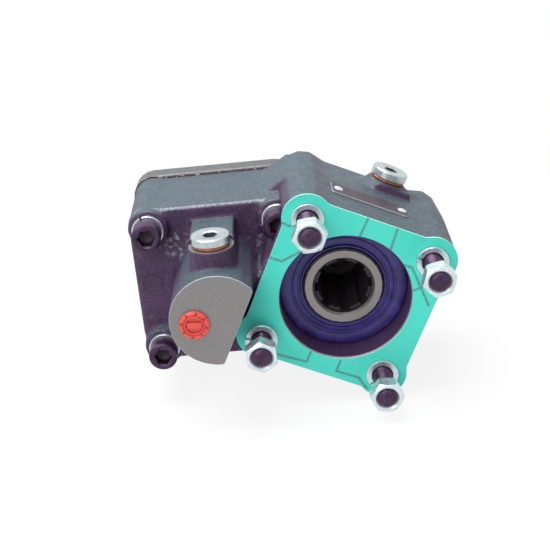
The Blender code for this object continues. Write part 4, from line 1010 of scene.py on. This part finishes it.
def housing_blank(looks):
    """The raw casting: the CAD shape with its bores filled and iron left on the machined faces."""
    bm = bmesh.new()
    bm.from_mesh(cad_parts["housing"].data)
    bmesh.ops.remove_doubles(bm, verts=bm.verts, dist=1e-6)
    rise = looks.allowance * SEAT_SHARE
    edge = 0.0006
    close = 0.0001
    face = [vert for vert in bm.verts if vert.co.y < BOSS_FRONT + edge]
    top = [vert for vert in bm.verts if vert.co.y < BLOCK_FRONT and abs(vert.co.z - INDICATOR_SEAT) < close]
    bmesh.ops.translate(bm, verts=face, vec=(0, -looks.allowance, 0))
    bmesh.ops.translate(bm, verts=top, vec=(0, 0, rise))
    flange = [vert for vert in bm.verts if abs(vert.co.y - PUMP_FACE) < close]
    bmesh.ops.translate(bm, verts=flange, vec=(0, -FLANGE_ALLOWANCE, 0))

    def fill(radius, front, back, place):
        bmesh.ops.create_cone(
            bm, cap_ends=True, segments=32, radius1=radius, radius2=radius, depth=back - front,
            matrix=place @ shift(0, (front + back) / 2, 0) @ UPRIGHT)

    fill(0.0475, -0.056, BLANK_BACK, at_input())
    fill(0.0420, PUMP_FACE - FLANGE_ALLOWANCE, -0.030, at_output())
    fill(PORT_MOUTH, BOSS_FRONT - looks.allowance, PORT_SHOULDER, at_port())
    fill(PLUG_FILL, -0.014, rise, at_indicator())
    fill(PLUG_FILL, -0.014, 0.0, filler_frame())
    for number in SCREWS:
        fill(0.0074, SCREW_SEAT, BLANK_BACK, on_axis(f"mounting_screw_{number}"))
    fill(0.0060, -0.037, BLANK_BACK, shift(TAPPED_X, 0, TAPPED_Z))
    for number in STUDS:
        fill(0.0070, PUMP_FACE - FLANGE_ALLOWANCE, PUMP_FACE + 0.0185, on_axis(f"stud_{number}"))
    return mesh_of(bm)


def filler_frame():
    """The frame of the filler plug: its Y axis points out of the casting, its origin is on the seat."""
    drop = 0.00105
    return Matrix.Translation(FILLER_MIDDLE) @ spin(FLANGE_TURN) @ UPRIGHT @ shift(0, -drop, 0)


def cast_skin(looks):
    """Remake the blank as one skin with soft cast edges."""
    item = bpy.data.objects.new("blank", housing_blank(looks))
    bpy.context.scene.collection.objects.link(item)
    remesh = item.modifiers.new("skin", "REMESH")
    remesh.mode = "VOXEL"
    remesh.voxel_size = looks.skin
    smooth = item.modifiers.new("soften", "SMOOTH")
    smooth.factor = 0.5
    smooth.iterations = looks.soften
    graph = bpy.context.evaluated_depsgraph_get()
    mesh = bpy.data.meshes.new_from_object(item.evaluated_get(graph))
    bpy.data.objects.remove(item)
    return mesh


def machining_tools():
    """Every tool that cuts the casting, as (mesh, material number)."""
    tools = []

    def drill(profile, place, number=BORED, steps=ROUND):
        tools.append(numbered(placed(mesh_of(turned(profile, steps)), place), number))

    def hole(radius, front, back, place, number=BORED, steps=SMALL_ROUND):
        drill([(0, front), (radius, front), (radius, back), (0, back)], place, number, steps)

    ahead = BOSS_FRONT - 0.01
    tools.append(numbered(block(shift(0, ahead, INPUT_HEIGHT), (0.09, 0.02, 0.09)), MILLED))
    for left, right, back in ((FLANGE_EDGE, -0.0556, -0.1012), (-0.0583, WIDE, PUMP_FACE)):
        cut = prism([(left, -WIDE), (right, -WIDE), (right, WIDE), (left, WIDE)], ahead, back)
        tools.append(numbered(placed(mesh_of(cut), at_flange()), MILLED))
    hole(0.0138, 0.0, 0.006, at_indicator(), MILLED, ROUND)
    hole(0.0136, FILLER_CUT, 0.006, filler_frame(), MILLED, ROUND)
    for place, end in ((at_indicator(), -0.034), (filler_frame(), -0.024)):
        drill([(0, PAST), (PLUG_MOUTH, PAST), (PLUG_MOUTH, -0.0003), (PLUG_BORE, -0.0006),
               (PLUG_BORE, -0.013), (PLUG_DRILL, -0.016), (PLUG_DRILL, end), (0, end)], place)
    drill([(0, PUMP_FACE - 0.003), (PILOT_MOUTH, PUMP_FACE - 0.003), (PILOT_BORE, PUMP_FACE + 0.0006),
           (PILOT_BORE, PILOT_BORE_BACK), (GEAR_BORE, PILOT_BORE_BACK), (GEAR_BORE, GEAR_BORE_BACK),
           (OUTPUT_SEAT, GEAR_BORE_BACK), (OUTPUT_SEAT, OUTPUT_SEAT_BACK), (0, OUTPUT_SEAT_BACK)],
          at_output())
    drill([(0, INPUT_SEAT_FRONT), (INPUT_SEAT, INPUT_SEAT_FRONT), (INPUT_SEAT, GEAR_CAVITY_FRONT),
           (GEAR_CAVITY, GEAR_CAVITY_FRONT), (GEAR_CAVITY, PAST), (0, PAST)], at_input())
    hole(CHAMBER, CHAMBER_FRONT, CHAMBER_BACK, at_input(), steps=ROUND)
    hole(TAIL_BORE, TAIL_BORE_FRONT, TAIL_BORE_BACK, at_input(), steps=ROUND)
    drill([(0, BOSS_FRONT - PAST), (PORT_MOUTH, BOSS_FRONT - PAST), (PORT_BORE, BOSS_FRONT + 0.0006),
           (PORT_BORE, BOSS_FRONT + 0.010), (PORT_DRILL, PORT_SHOULDER), (PORT_DRILL, PORT_BACK),
           (0, PORT_BACK)], at_port(), steps=SMALL_ROUND)
    for number in SCREWS:
        place = on_axis(f"mounting_screw_{number}")
        depth = WEB_RECESS_DEPTH if number == 2 else HEAD_RECESS_DEPTH
        hole(SCREW_HOLE, SCREW_SEAT - HEAD_RECESS_DEPTH, PAST, place)
        hole(HEAD_RECESS, SCREW_SEAT - depth, SCREW_SEAT, place, PAINT)
    hole(TAPPED_HOLE, TAPPED_END, PAST, shift(TAPPED_X, 0, TAPPED_Z))
    for number in STUDS:
        hole(STUD_HOLE, PUMP_FACE - 2 * PAST, PUMP_FACE + STUD_HOLE_DEPTH, on_axis(f"stud_{number}"))
    return tools


class PTO_OT_casting(bpy.types.Operator):
    """Make the cast housing, the plate and the joint between them"""

    bl_idname = "pto.casting"
    bl_label = "Casting"

    def execute(self, context):
        looks = context.scene.pto_casting
        paint = painted_casting(looks)
        mesh = cast_skin(looks)
        for tool in machining_tools():
            mesh = boolean(mesh, tool, solver="MANIFOLD")
        mesh.materials.clear()
        coated(mesh, paint, bare_iron(looks), bored_iron())
        self.sort_faces(mesh)
        if len(mesh.polygons) < 1000:
            raise RuntimeError("the casting came out empty")
        finish_piece("cast_housing", mesh, ["housing"], sharp=42.0)
        dress(plate_iron(looks), "back_plate")
        self.seal_joint(looks)
        return {"FINISHED"}

    def sort_faces(self, mesh):
        """Number the faces: paint, milled faces and the walls of the bores."""
        edge = at_flange() @ Vector((FLANGE_EDGE, 0, 0))
        side = (at_flange().to_3x3() @ Vector((1, 0, 0))).normalized()
        filler = filler_frame().inverted()
        flat = 0.99
        mouth = 0.0410
        output_walls = 0.0437
        input_walls = 0.0468
        for polygon in mesh.polygons:
            spot = polygon.center
            normal = polygon.normal
            radius = math.hypot(spot.x - OUTPUT_X, spot.z - OUTPUT_Z)
            milled = (
                normal.y < -flat and abs(spot.y - BOSS_FRONT) < NEAR
                or normal.z > flat and abs(spot.z - INDICATOR_SEAT) < NEAR and spot.y < BLOCK_FRONT
                or abs((spot - edge).dot(side)) < 0.00003 and normal.dot(side) > flat
                or abs((filler @ spot).y - FILLER_CUT) < NEAR and (filler.to_3x3() @ normal).y > flat
                or radius < mouth and abs(spot.y - PUMP_FACE - 0.0003) < 0.00035 and normal.y < -0.3)
            bored = (
                radius < output_walls and -0.1059 < spot.y < -0.02
                or math.hypot(spot.x, spot.z - INPUT_HEIGHT) < input_walls
                and BLOCK_FRONT + 0.004 < spot.y < -0.0145)
            polygon.material_index = MILLED if milled else BORED if bored else PAINT

    def seal_joint(self, looks):
        """Sealant squeezed out between the block and the plate."""
        outer = lobed_square(SCREW_PITCH, 0.0143, 0.0530, 0.010, 10)
        inner = lobed_square(SCREW_PITCH, 0.0120, 0.0506, 0.010, 10)
        bead = mesh_of(prism(outer, SEAM - 0.0011, SEAM - 0.00002))
        bead = boolean(bead, mesh_of(prism(inner, SEAM - 0.01, SEAM + 0.01)))
        bm = bmesh.new()
        bm.from_mesh(bead)
        long_edges = [edge for edge in bm.edges if edge.calc_length() > 0.004]
        bmesh.ops.subdivide_edges(bm, edges=long_edges, cuts=24, use_grid_fill=True)
        close_shape(bm)
        finish_piece("joint_sealant", placed(mesh_of(bm, joint_sealant(looks)), at_input()), [])


class PTO_OT_gasket(bpy.types.Operator):
    """Make the pump gasket"""

    bl_idname = "pto.gasket"
    bl_label = "Gasket"

    def execute(self, context):
        looks = context.scene.pto_gasket
        outline = lobed_square(FLANGE_PITCH, FLANGE_LOBE, FLANGE_HALF_WIDTH, FLANGE_FILLET)
        sheet = mesh_of(prism(outline, GASKET_FRONT, PUMP_FACE - 0.00015))
        half = FLANGE_PITCH / 2
        bolts = ((-half, half), (half, half), (-half, -half), (half, -half))
        holes = [(0.0407, FINE_ROUND, 0, 0)] + [(0.0068, SMALL_ROUND, x, z) for x, z in bolts]
        for radius, steps, x, z in holes:
            hole = turned([(0, -0.11), (radius, -0.11), (radius, -0.10), (0, -0.10)], steps)
            sheet = boolean(sheet, placed(mesh_of(hole), shift(x, 0, z)))
        coated(sheet, gasket_fibre(looks))
        finish_piece("gasket", placed(sheet, at_flange()), ["output_gasket"])
        return {"FINISHED"}


def threaded_bar(front, back, radius, pitch, depth):
    """A bar along Y with a helical V thread between plain chamfered ends."""
    bm = bmesh.new()
    steps = 24
    lead = 0.0008
    turns = int((back - front - 2 * lead) / pitch)
    begin = front + lead
    outer = radius - 0.0001
    root = radius - depth + 0.00005
    points = [(radius - depth, 0.0), (radius, pitch * 0.42), (radius, pitch * 0.58), (radius - depth, pitch)]
    strip = [bm.verts.new((across, begin + along, 0)) for across, along in points]
    edges = [bm.edges.new(pair) for pair in zip(strip, strip[1:])]
    bmesh.ops.spin(
        bm, geom=strip + edges, cent=(0, 0, 0), axis=(0, -1, 0), dvec=(0, pitch / steps, 0),
        angle=math.tau * turns, steps=steps * turns, use_merge=False)
    bmesh.ops.remove_doubles(bm, verts=bm.verts, dist=2e-6)
    bmesh.ops.recalc_face_normals(bm, faces=bm.faces)
    core = turned([
        (0, front), (radius - 0.0012, front), (outer, front + 0.0011), (outer, begin + pitch * 0.6),
        (root, begin + pitch * 0.9), (root, back - 0.002), (outer, back - 0.0015), (outer, back - 0.0009),
        (radius - 0.0011, back), (0, back)], SMALL_ROUND)
    mesh = mesh_of(core)
    bm.from_mesh(mesh)
    bpy.data.meshes.remove(mesh)
    return bm


def hex_nut():
    """A nut with both ends chamfered and a countersunk bore, its front face at y = 0."""
    height = NUT_HEIGHT
    flat = NUT_FLATS / 2
    corner = NUT_FLATS / math.sqrt(3)
    rise = (corner - flat) * math.tan(math.radians(30))
    nut = mesh_of(hexagon(NUT_FLATS, 0, height))
    envelope = mesh_of(turned([
        (0, 0), (flat * 0.925, 0), (corner * 1.01, rise * 2.2), (corner * 1.01, height - rise * 1.7),
        (flat * 0.95, height), (0, height)]))
    nut = boolean(nut, envelope, "INTERSECT")
    return boolean(nut, mesh_of(turned([
        (0, -0.001), (0.0072, -0.001), (0.0072, 0.0), (0.00605, 0.0011), (0.00605, height - 0.001),
        (0.0070, height), (0.0070, height + 0.001), (0, height + 0.001)], SMALL_ROUND)))


def lock_washer(turn):
    """A split spring washer, its front face at y = 0."""
    return mesh_of(turned([
        (0.0066, 0.00015), (0.0068, 0), (0.0096, 0), (0.0098, 0.0002), (0.0098, 0.0023), (0.0096, 0.0025),
        (0.0068, 0.0025), (0.0066, 0.00235)], 64, math.tau - WASHER_SPLIT, math.pi + WASHER_SPLIT / 2 + turn))


def socket_screw(looks):
    """A socket head screw, the underside of its head at y = 0."""
    head = HEAD_HEIGHT
    screw = mesh_of(turned([
        (0, -head), (0.0076, -head), (0.0083, -head + 0.0002), (0.0089, -head + 0.0008),
        (0.0090, -head + 0.0014), (0.0090, -0.0005), (0.0088, 0), (0.006, 0), (0.006, 0.0712),
        (0, 0.0712)]))
    mouth = turned([
        (0, -head - 0.001), (0.0062, -head - 0.001), (0.0062, -head), (0.0056, -head + 0.0006),
        (0, -head + 0.0006)])
    socket = hexagon(0.010, -head - 0.001, -head + 0.006)
    floor = turned([
        (0, -head + 0.0055), (0.0045, -head + 0.0055), (0.0045, -head + 0.0062), (0, -head + 0.0085)])
    for tool, number in ((mouth, 0), (socket, 1), (floor, 1)):
        screw = boolean(screw, numbered(mesh_of(tool), number))
    bm = threaded_bar(*SCREW_THREAD, THREAD_RADIUS, looks.thread_pitch, looks.thread_depth)
    bm.from_mesh(screw)
    return mesh_of(bm)


class PTO_OT_screws(bpy.types.Operator):
    """Make the socket screws and their washers"""

    bl_idname = "pto.screws"
    bl_label = "Socket Screws"

    def execute(self, context):
        looks = context.scene.pto_fasteners
        black = black_oxide(looks)
        dark = plain_metal("socket dirt", (0.020, 0.006, 0.018), 0.55, 0.2)
        zinc = bright_zinc(looks)
        for number, twist in zip(SCREWS, SCREW_TURNS):
            screw_node = f"mounting_screw_{number}"
            washer_node = f"screw_washer_{number}"
            screw = coated(socket_screw(looks), black, dark)
            place = on_axis(screw_node, front_of(screw_node) + HEAD_HEIGHT) @ spin(math.radians(twist))
            screw = placed(screw, place)
            finish_piece(f"socket_screw_{number}", screw, [screw_node], edge=0.0002)
            washer = coated(lock_washer(math.radians(-70 * number)), zinc)
            place = on_axis(screw_node, front_of(washer_node))
            finish_piece(f"head_washer_{number}", placed(washer, place), [washer_node])
        return {"FINISHED"}


class PTO_OT_studs(bpy.types.Operator):
    """Make the threaded studs, the nuts and the lock washers"""

    bl_idname = "pto.studs"
    bl_label = "Studs"

    def execute(self, context):
        looks = context.scene.pto_fasteners
        black = bpy.data.materials["black oxide steel"]
        zinc = bpy.data.materials["bright zinc"]
        for number, nut_turn, washer_turn in zip(STUDS, NUT_TURNS, WASHER_TURNS):
            stud = f"stud_{number}"
            low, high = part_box(stud)
            bar = threaded_bar(low.y, high.y, THREAD_RADIUS, looks.thread_pitch, looks.thread_depth)
            bar = placed(mesh_of(bar, black), on_axis(stud))
            finish_piece(f"threaded_stud_{number}", bar, [stud], sharp=50.0)
            node = f"stud_nut_{number}"
            place = on_axis(stud, front_of(node)) @ spin(FLANGE_TURN + math.radians(nut_turn))
            nut = placed(coated(hex_nut(), zinc), place)
            finish_piece(f"nut_{number}", nut, [node], edge=0.00018)
            node = f"stud_washer_{number}"
            washer = coated(lock_washer(-FLANGE_TURN - math.radians(washer_turn)), zinc)
            place = on_axis(stud, front_of(node))
            finish_piece(f"lock_washer_{number}", placed(washer, place), [node])
        return {"FINISHED"}


def collar_plug(pin):
    """A collar screw plug along Y, the underside of its collar at y = 0."""
    top = PLUG_COLLAR
    profile = [
        (0, top - 0.0005), (0.0046, top - 0.0005), (0.0053, top - 0.0001), (0.0056, top), (0.0111, top),
        (0.0117, top - 0.0006), (0.0117, 0.0004), (0.0113, 0), (0.009, 0), (0.009, -0.0102), (0.0082, -0.011)]
    if pin:
        profile += [(0.003, -0.011), (0.003, -pin + 0.0006), (0.0024, -pin), (0, -pin)]
    else:
        profile += [(0, -0.011)]
    plug = mesh_of(turned(profile))
    return boolean(plug, numbered(mesh_of(hexagon(0.008, top - 0.0045, top + 0.001)), 1))


class PTO_OT_plugs(bpy.types.Operator):
    """Make the two collar plugs and their copper washers"""

    bl_idname = "pto.plugs"
    bl_label = "Screw Plugs"

    def execute(self, context):
        looks = context.scene.pto_fasteners
        zinc = bright_zinc(looks, "satin zinc", 0.76, 0.92)
        copper = soft_copper(looks)
        worn = plain_metal("worn socket", (0.14, 0.13, 0.14), 0.45, 0.6)
        low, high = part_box("indicator_plug")
        pin = high.z - PLUG_COLLAR - low.z
        for name, seat, reach in (("indicator", at_indicator(), pin), ("filler", filler_frame(), 0)):
            plug = placed(coated(collar_plug(reach), zinc, worn), seat @ shift(0, PLUG_LIFT, 0))
            finish_piece(f"{name}_screw", plug, [f"{name}_plug"], edge=0.00012)
            ring = mesh_of(turned([
                (0.0092, 0.0002), (0.0094, 0), (0.0108, 0), (0.0111, 0.0004), (0.0111, 0.0011),
                (0.0108, 0.0015), (0.0094, 0.0015), (0.0092, 0.0013)]), copper)
            ring = placed(ring, seat @ shift(0, WASHER_GAP, 0))
            finish_piece(f"{name}_washer", ring, [f"{name}_plug_washer"])
        return {"FINISHED"}


class PTO_OT_cap(bpy.types.Operator):
    """Make the transit cap"""

    bl_idname = "pto.cap"
    bl_label = "Transit Cap"

    def execute(self, context):
        looks = context.scene.pto_small
        front = front_of("port_cap")
        flange = front + 0.0018
        cap = mesh_of(turned([
            (0, front + 0.0017), (0.0049, front + 0.0017), (0.0050, front + 0.0003), (0.0052, front),
            (0.0056, front), (0.0059, front + 0.0003), (0.0060, front + 0.0008), (0.0066, front + 0.0008),
            (0.0068, front + 0.0002), (0.0072, front), (0.0077, front + 0.0001), (0.0090, front + 0.0010),
            (0.0090, flange - 0.0001), (0.0088, flange), (0.0069, flange), (0.0069, flange + 0.0052),
            (0.0064, flange + 0.0062), (0, flange + 0.0062)]))
        notches = 8
        for turn in range(notches):
            place = spin(math.tau * turn / notches + 0.25) @ shift(0.0074, front, 0)
            cap = boolean(cap, block(place, (0.0022, 0.0026, 0.0013)))
        place = spin(math.radians(4)) @ shift(0, front + 0.0013, 0)
        cap = boolean(cap, block(place, (0.0086, 0.0018, 0.0038)), "UNION")
        coated(cap, moulded_plastic("red plastic", looks.cap, 0.36))
        finish_piece("transit_cap", placed(cap, at_port()), ["port_cap"], edge=0.0002)
        return {"FINISHED"}


class PTO_OT_nameplate(bpy.types.Operator):
    """Make the bare nameplate and its drive pins"""

    bl_idname = "pto.nameplate"
    bl_label = "Nameplate"

    def execute(self, context):
        looks = context.scene.pto_small
        dress(anodised_plate(looks), "nameplate")
        draft = math.atan2(0.0013, 0.050)
        out = spin(FLANGE_TURN) @ Matrix.Rotation(draft, 4, "X") @ UPRIGHT
        for number in (1, 2):
            node = f"nameplate_pin_{number}"
            height = 0.00115
            turns = (0.25, 0.5, 0.75, 1.0, 1.25)
            dome = [(0.0030 * math.cos(turn), height * math.sin(turn)) for turn in turns]
            profile = [
                (0, -0.0042), (0.0014, -0.0042), (0.0015, -0.0039), (0.0015, 0), (0.0028, 0),
                *dome, (0, height)]
            pin = mesh_of(turned(profile, SMALL_ROUND), bpy.data.materials["bright zinc"])
            place = Matrix.Translation(middle_of(node)) @ out @ shift(0, 0.0014, 0)
            finish_piece(f"drive_pin_{number}", placed(pin, place), [node])
        return {"FINISHED"}


class PTO_OT_output(bpy.types.Operator):
    """Make the shaft seal and dress the output shaft"""

    bl_idname = "pto.output"
    bl_label = "Output Shaft"

    def execute(self, context):
        looks = context.scene.pto_shaft
        dress(output_steel(looks), "output_shaft", "bore_plug")
        front = SEAL_FRONT
        back = front + 0.008
        seal = mesh_of(turned([
            (PILOT_RADIUS, front + 0.0013), (0.0397, front + 0.0005), (0.0390, front + 0.0001),
            (0.0385, front), (0.0335, front), (0.0331, front + 0.0002), (0.0329, front + 0.0011),
            (0.0319, front + 0.0012), (0.0316, front + 0.0006), (0.0309, front + 0.0004),
            (0.0287, front + 0.0004), (0.0284, front + 0.0007), (0.0282, front + 0.0014),
            (0.0272, front + 0.0015), (0.0270, front + 0.0006), (0.0266, front + 0.0002),
            (0.0258, front + 0.0003), (0.02526, front + 0.0011), (0.02526, front + 0.0056),
            (0.0281, back), (PILOT_RADIUS, back),
        ], FINE_ROUND), seal_rubber(looks))
        finish_piece("lip_seal", placed(seal, at_output()), ["shaft_seal"])
        return {"FINISHED"}


class PTO_OT_inside(bpy.types.Operator):
    """Give the pieces inside their materials"""

    bl_idname = "pto.inside"
    bl_label = "Inner Pieces"

    def execute(self, context):
        looks = context.scene.pto_shaft
        steel = ground_steel(looks, (0, 0, INPUT_HEIGHT), "input steel", 0.68)
        dress(steel, "input_gear", "coupling_sleeve", "spring_seat", "shift_bearing",
              "input_front_bearing", "input_back_bearing")
        bearing = plain_metal("bearing steel", (0.42, 0.41, 0.41), 0.30)
        dress(bearing, "output_front_bearing", "output_back_bearing")
        dark = plain_metal("spring steel", (0.12, 0.12, 0.13), 0.35, 0.9)
        dress(dark, "spring_retaining_ring", "output_retaining_ring")
        self.coil(dark)
        dress(plain_metal("turned aluminium", (0.70, 0.71, 0.72), 0.34), "piston")
        dress(moulded_plastic("black rubber", (0.02, 0.02, 0.02), 0.6), "piston_seal")
        return {"FINISHED"}

    def coil(self, material):
        """The return spring, which shortens as the piston comes back towards its seat; here it is only made a
        piece with a mesh of its own.
        """
        bm = bmesh.new()
        bm.from_mesh(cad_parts["return_spring"].data)
        bmesh.ops.remove_doubles(bm, verts=bm.verts, dist=1e-6)
        spring = finish_piece(
            "shift_spring", mesh_of(bm, material), ["return_spring"], sharp=60.0)
        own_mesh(spring)


def studio_white(name, keep_shadow):
    """White for the camera and in reflections; near the object the floor keeps a part of its shading."""
    made = bpy.data.materials.new(name)
    made.use_nodes = True
    net = Net(made.node_tree)
    made.node_tree.nodes.remove(made.node_tree.nodes["Principled BSDF"])
    output = made.node_tree.nodes["Material Output"]
    seen = net.seen()
    place = net.place()
    away = net.vector("DISTANCE", place, (0.04, -0.05, 0))
    near = net.minus(1.0, net.step(away, 0.12, 0.42))
    kept = net.times(near, keep_shadow)
    glow = net.add("ShaderNodeEmission", {"Color": (1, 1, 1, 1), "Strength": 1.0})
    matt = net.add("ShaderNodeBsdfDiffuse", {"Color": (0.85, 0.85, 0.85, 1)})
    share = net.times(seen, net.minus(1.0, kept))
    mixed = net.add("ShaderNodeMixShader", {0: share, 1: matt.outputs[0], 2: glow.outputs[0]})
    net.tree.links.new(mixed.outputs[0], output.inputs["Surface"])
    return made


class PTO_OT_stage(bpy.types.Operator):
    """Make the floor, the lights and the camera"""

    bl_idname = "pto.stage"
    bl_label = "Studio"

    def execute(self, context):
        looks = context.scene.pto_studio
        scene = context.scene
        scene.view_settings.view_transform = "Standard"
        bm = bmesh.new()
        ground = SOLID_BOX[0][2] - 0.0004
        bmesh.ops.create_grid(bm, x_segments=1, y_segments=1, size=6.0, matrix=shift(0, 0, ground))
        floor = bpy.data.objects.new("floor", mesh_of(bm, studio_white("floor white", 0.13)))
        scene.collection.objects.link(floor)
        world = bpy.data.worlds.new("studio")
        world.use_nodes = True
        net = Net(world.node_tree)
        strength = net.add("ShaderNodeMapRange", {0: net.seen(), 1: 0.0, 2: 1.0, 3: looks.fill, 4: 1.0})
        background = world.node_tree.nodes["Background"]
        background.inputs["Color"].default_value = (1, 1, 1, 1)
        net.tree.links.new(strength.outputs[0], background.inputs["Strength"])
        scene.world = world
        target = Vector((0.04, -0.07, 0.045))
        for name, place, size, power in (
                ("top lamp", (-0.15, -0.05, 0.95), 0.8, looks.top_light),
                ("front lamp", (-0.45, -1.0, 0.55), 0.7, looks.front_light)):
            lamp = bpy.data.lights.new(name, "AREA")
            lamp.shape = "SQUARE"
            lamp.size = size
            lamp.energy = power
            item = bpy.data.objects.new(name, lamp)
            item.location = place
            item.rotation_euler = (target - Vector(place)).to_track_quat("-Z", "Y").to_euler()
            scene.collection.objects.link(item)
        camera = bpy.data.cameras.new("camera")
        camera.lens = 74.42
        camera.sensor_width = 36
        item = bpy.data.objects.new("camera", camera)
        right = Vector((0.99549, -0.018, -0.09316))
        up = Vector((0.0929, 0.38474, 0.91834))
        forward = Vector((-0.01932, 0.92285, -0.38467))
        place = Matrix((right, up, -forward)).transposed().to_4x4()
        place.translation = (0.048752, -0.73588, 0.321389)
        item.matrix_world = place
        scene.collection.objects.link(item)
        scene.camera = item
        return {"FINISHED"}


class PTO_PT_panel(bpy.types.Panel):
    """Lists the steps that build the power take off"""

    bl_idname = "PTO_PT_panel"
    bl_label = "Power Take Off"
    bl_space_type = "VIEW_3D"
    bl_region_type = "UI"
    bl_category = "Power Take Off"

    def draw(self, context):
        for step in STEPS:
            self.layout.operator(step.bl_idname)


# The settings and the steps, in the order in which they run
SETTINGS = {
    "pto_casting": CastingSizes, "pto_gasket": GasketSizes, "pto_fasteners": FastenerSizes,
    "pto_shaft": ShaftSizes, "pto_small": SmallPartSizes, "pto_studio": StudioSizes,
}
STEPS = (
    PTO_OT_groups, PTO_OT_casting, PTO_OT_gasket, PTO_OT_screws, PTO_OT_studs, PTO_OT_plugs, PTO_OT_cap,
    PTO_OT_nameplate, PTO_OT_output, PTO_OT_inside, PTO_OT_stage,
)


def register():
    """Register the classes and hang the settings on the scene."""
    for item in (*SETTINGS.values(), *STEPS, PTO_PT_panel):
        bpy.utils.register_class(item)
    for name, group in SETTINGS.items():
        setattr(bpy.types.Scene, name, PointerProperty(type=group))


def unregister():
    """Take the settings and classes away again."""
    for name in SETTINGS:
        delattr(bpy.types.Scene, name)
    for item in reversed((*SETTINGS.values(), *STEPS, PTO_PT_panel)):
        bpy.utils.unregister_class(item)


def plain(box):
    """A box as plain lists of numbers."""
    return [[float(value) for value in corner] for corner in box]


def main():
    """Build everything."""
    register()
    for step in STEPS:
        group, name = step.bl_idname.split(".")
        getattr(getattr(bpy.ops, group), name)()


if __name__ == "__main__":
    main()
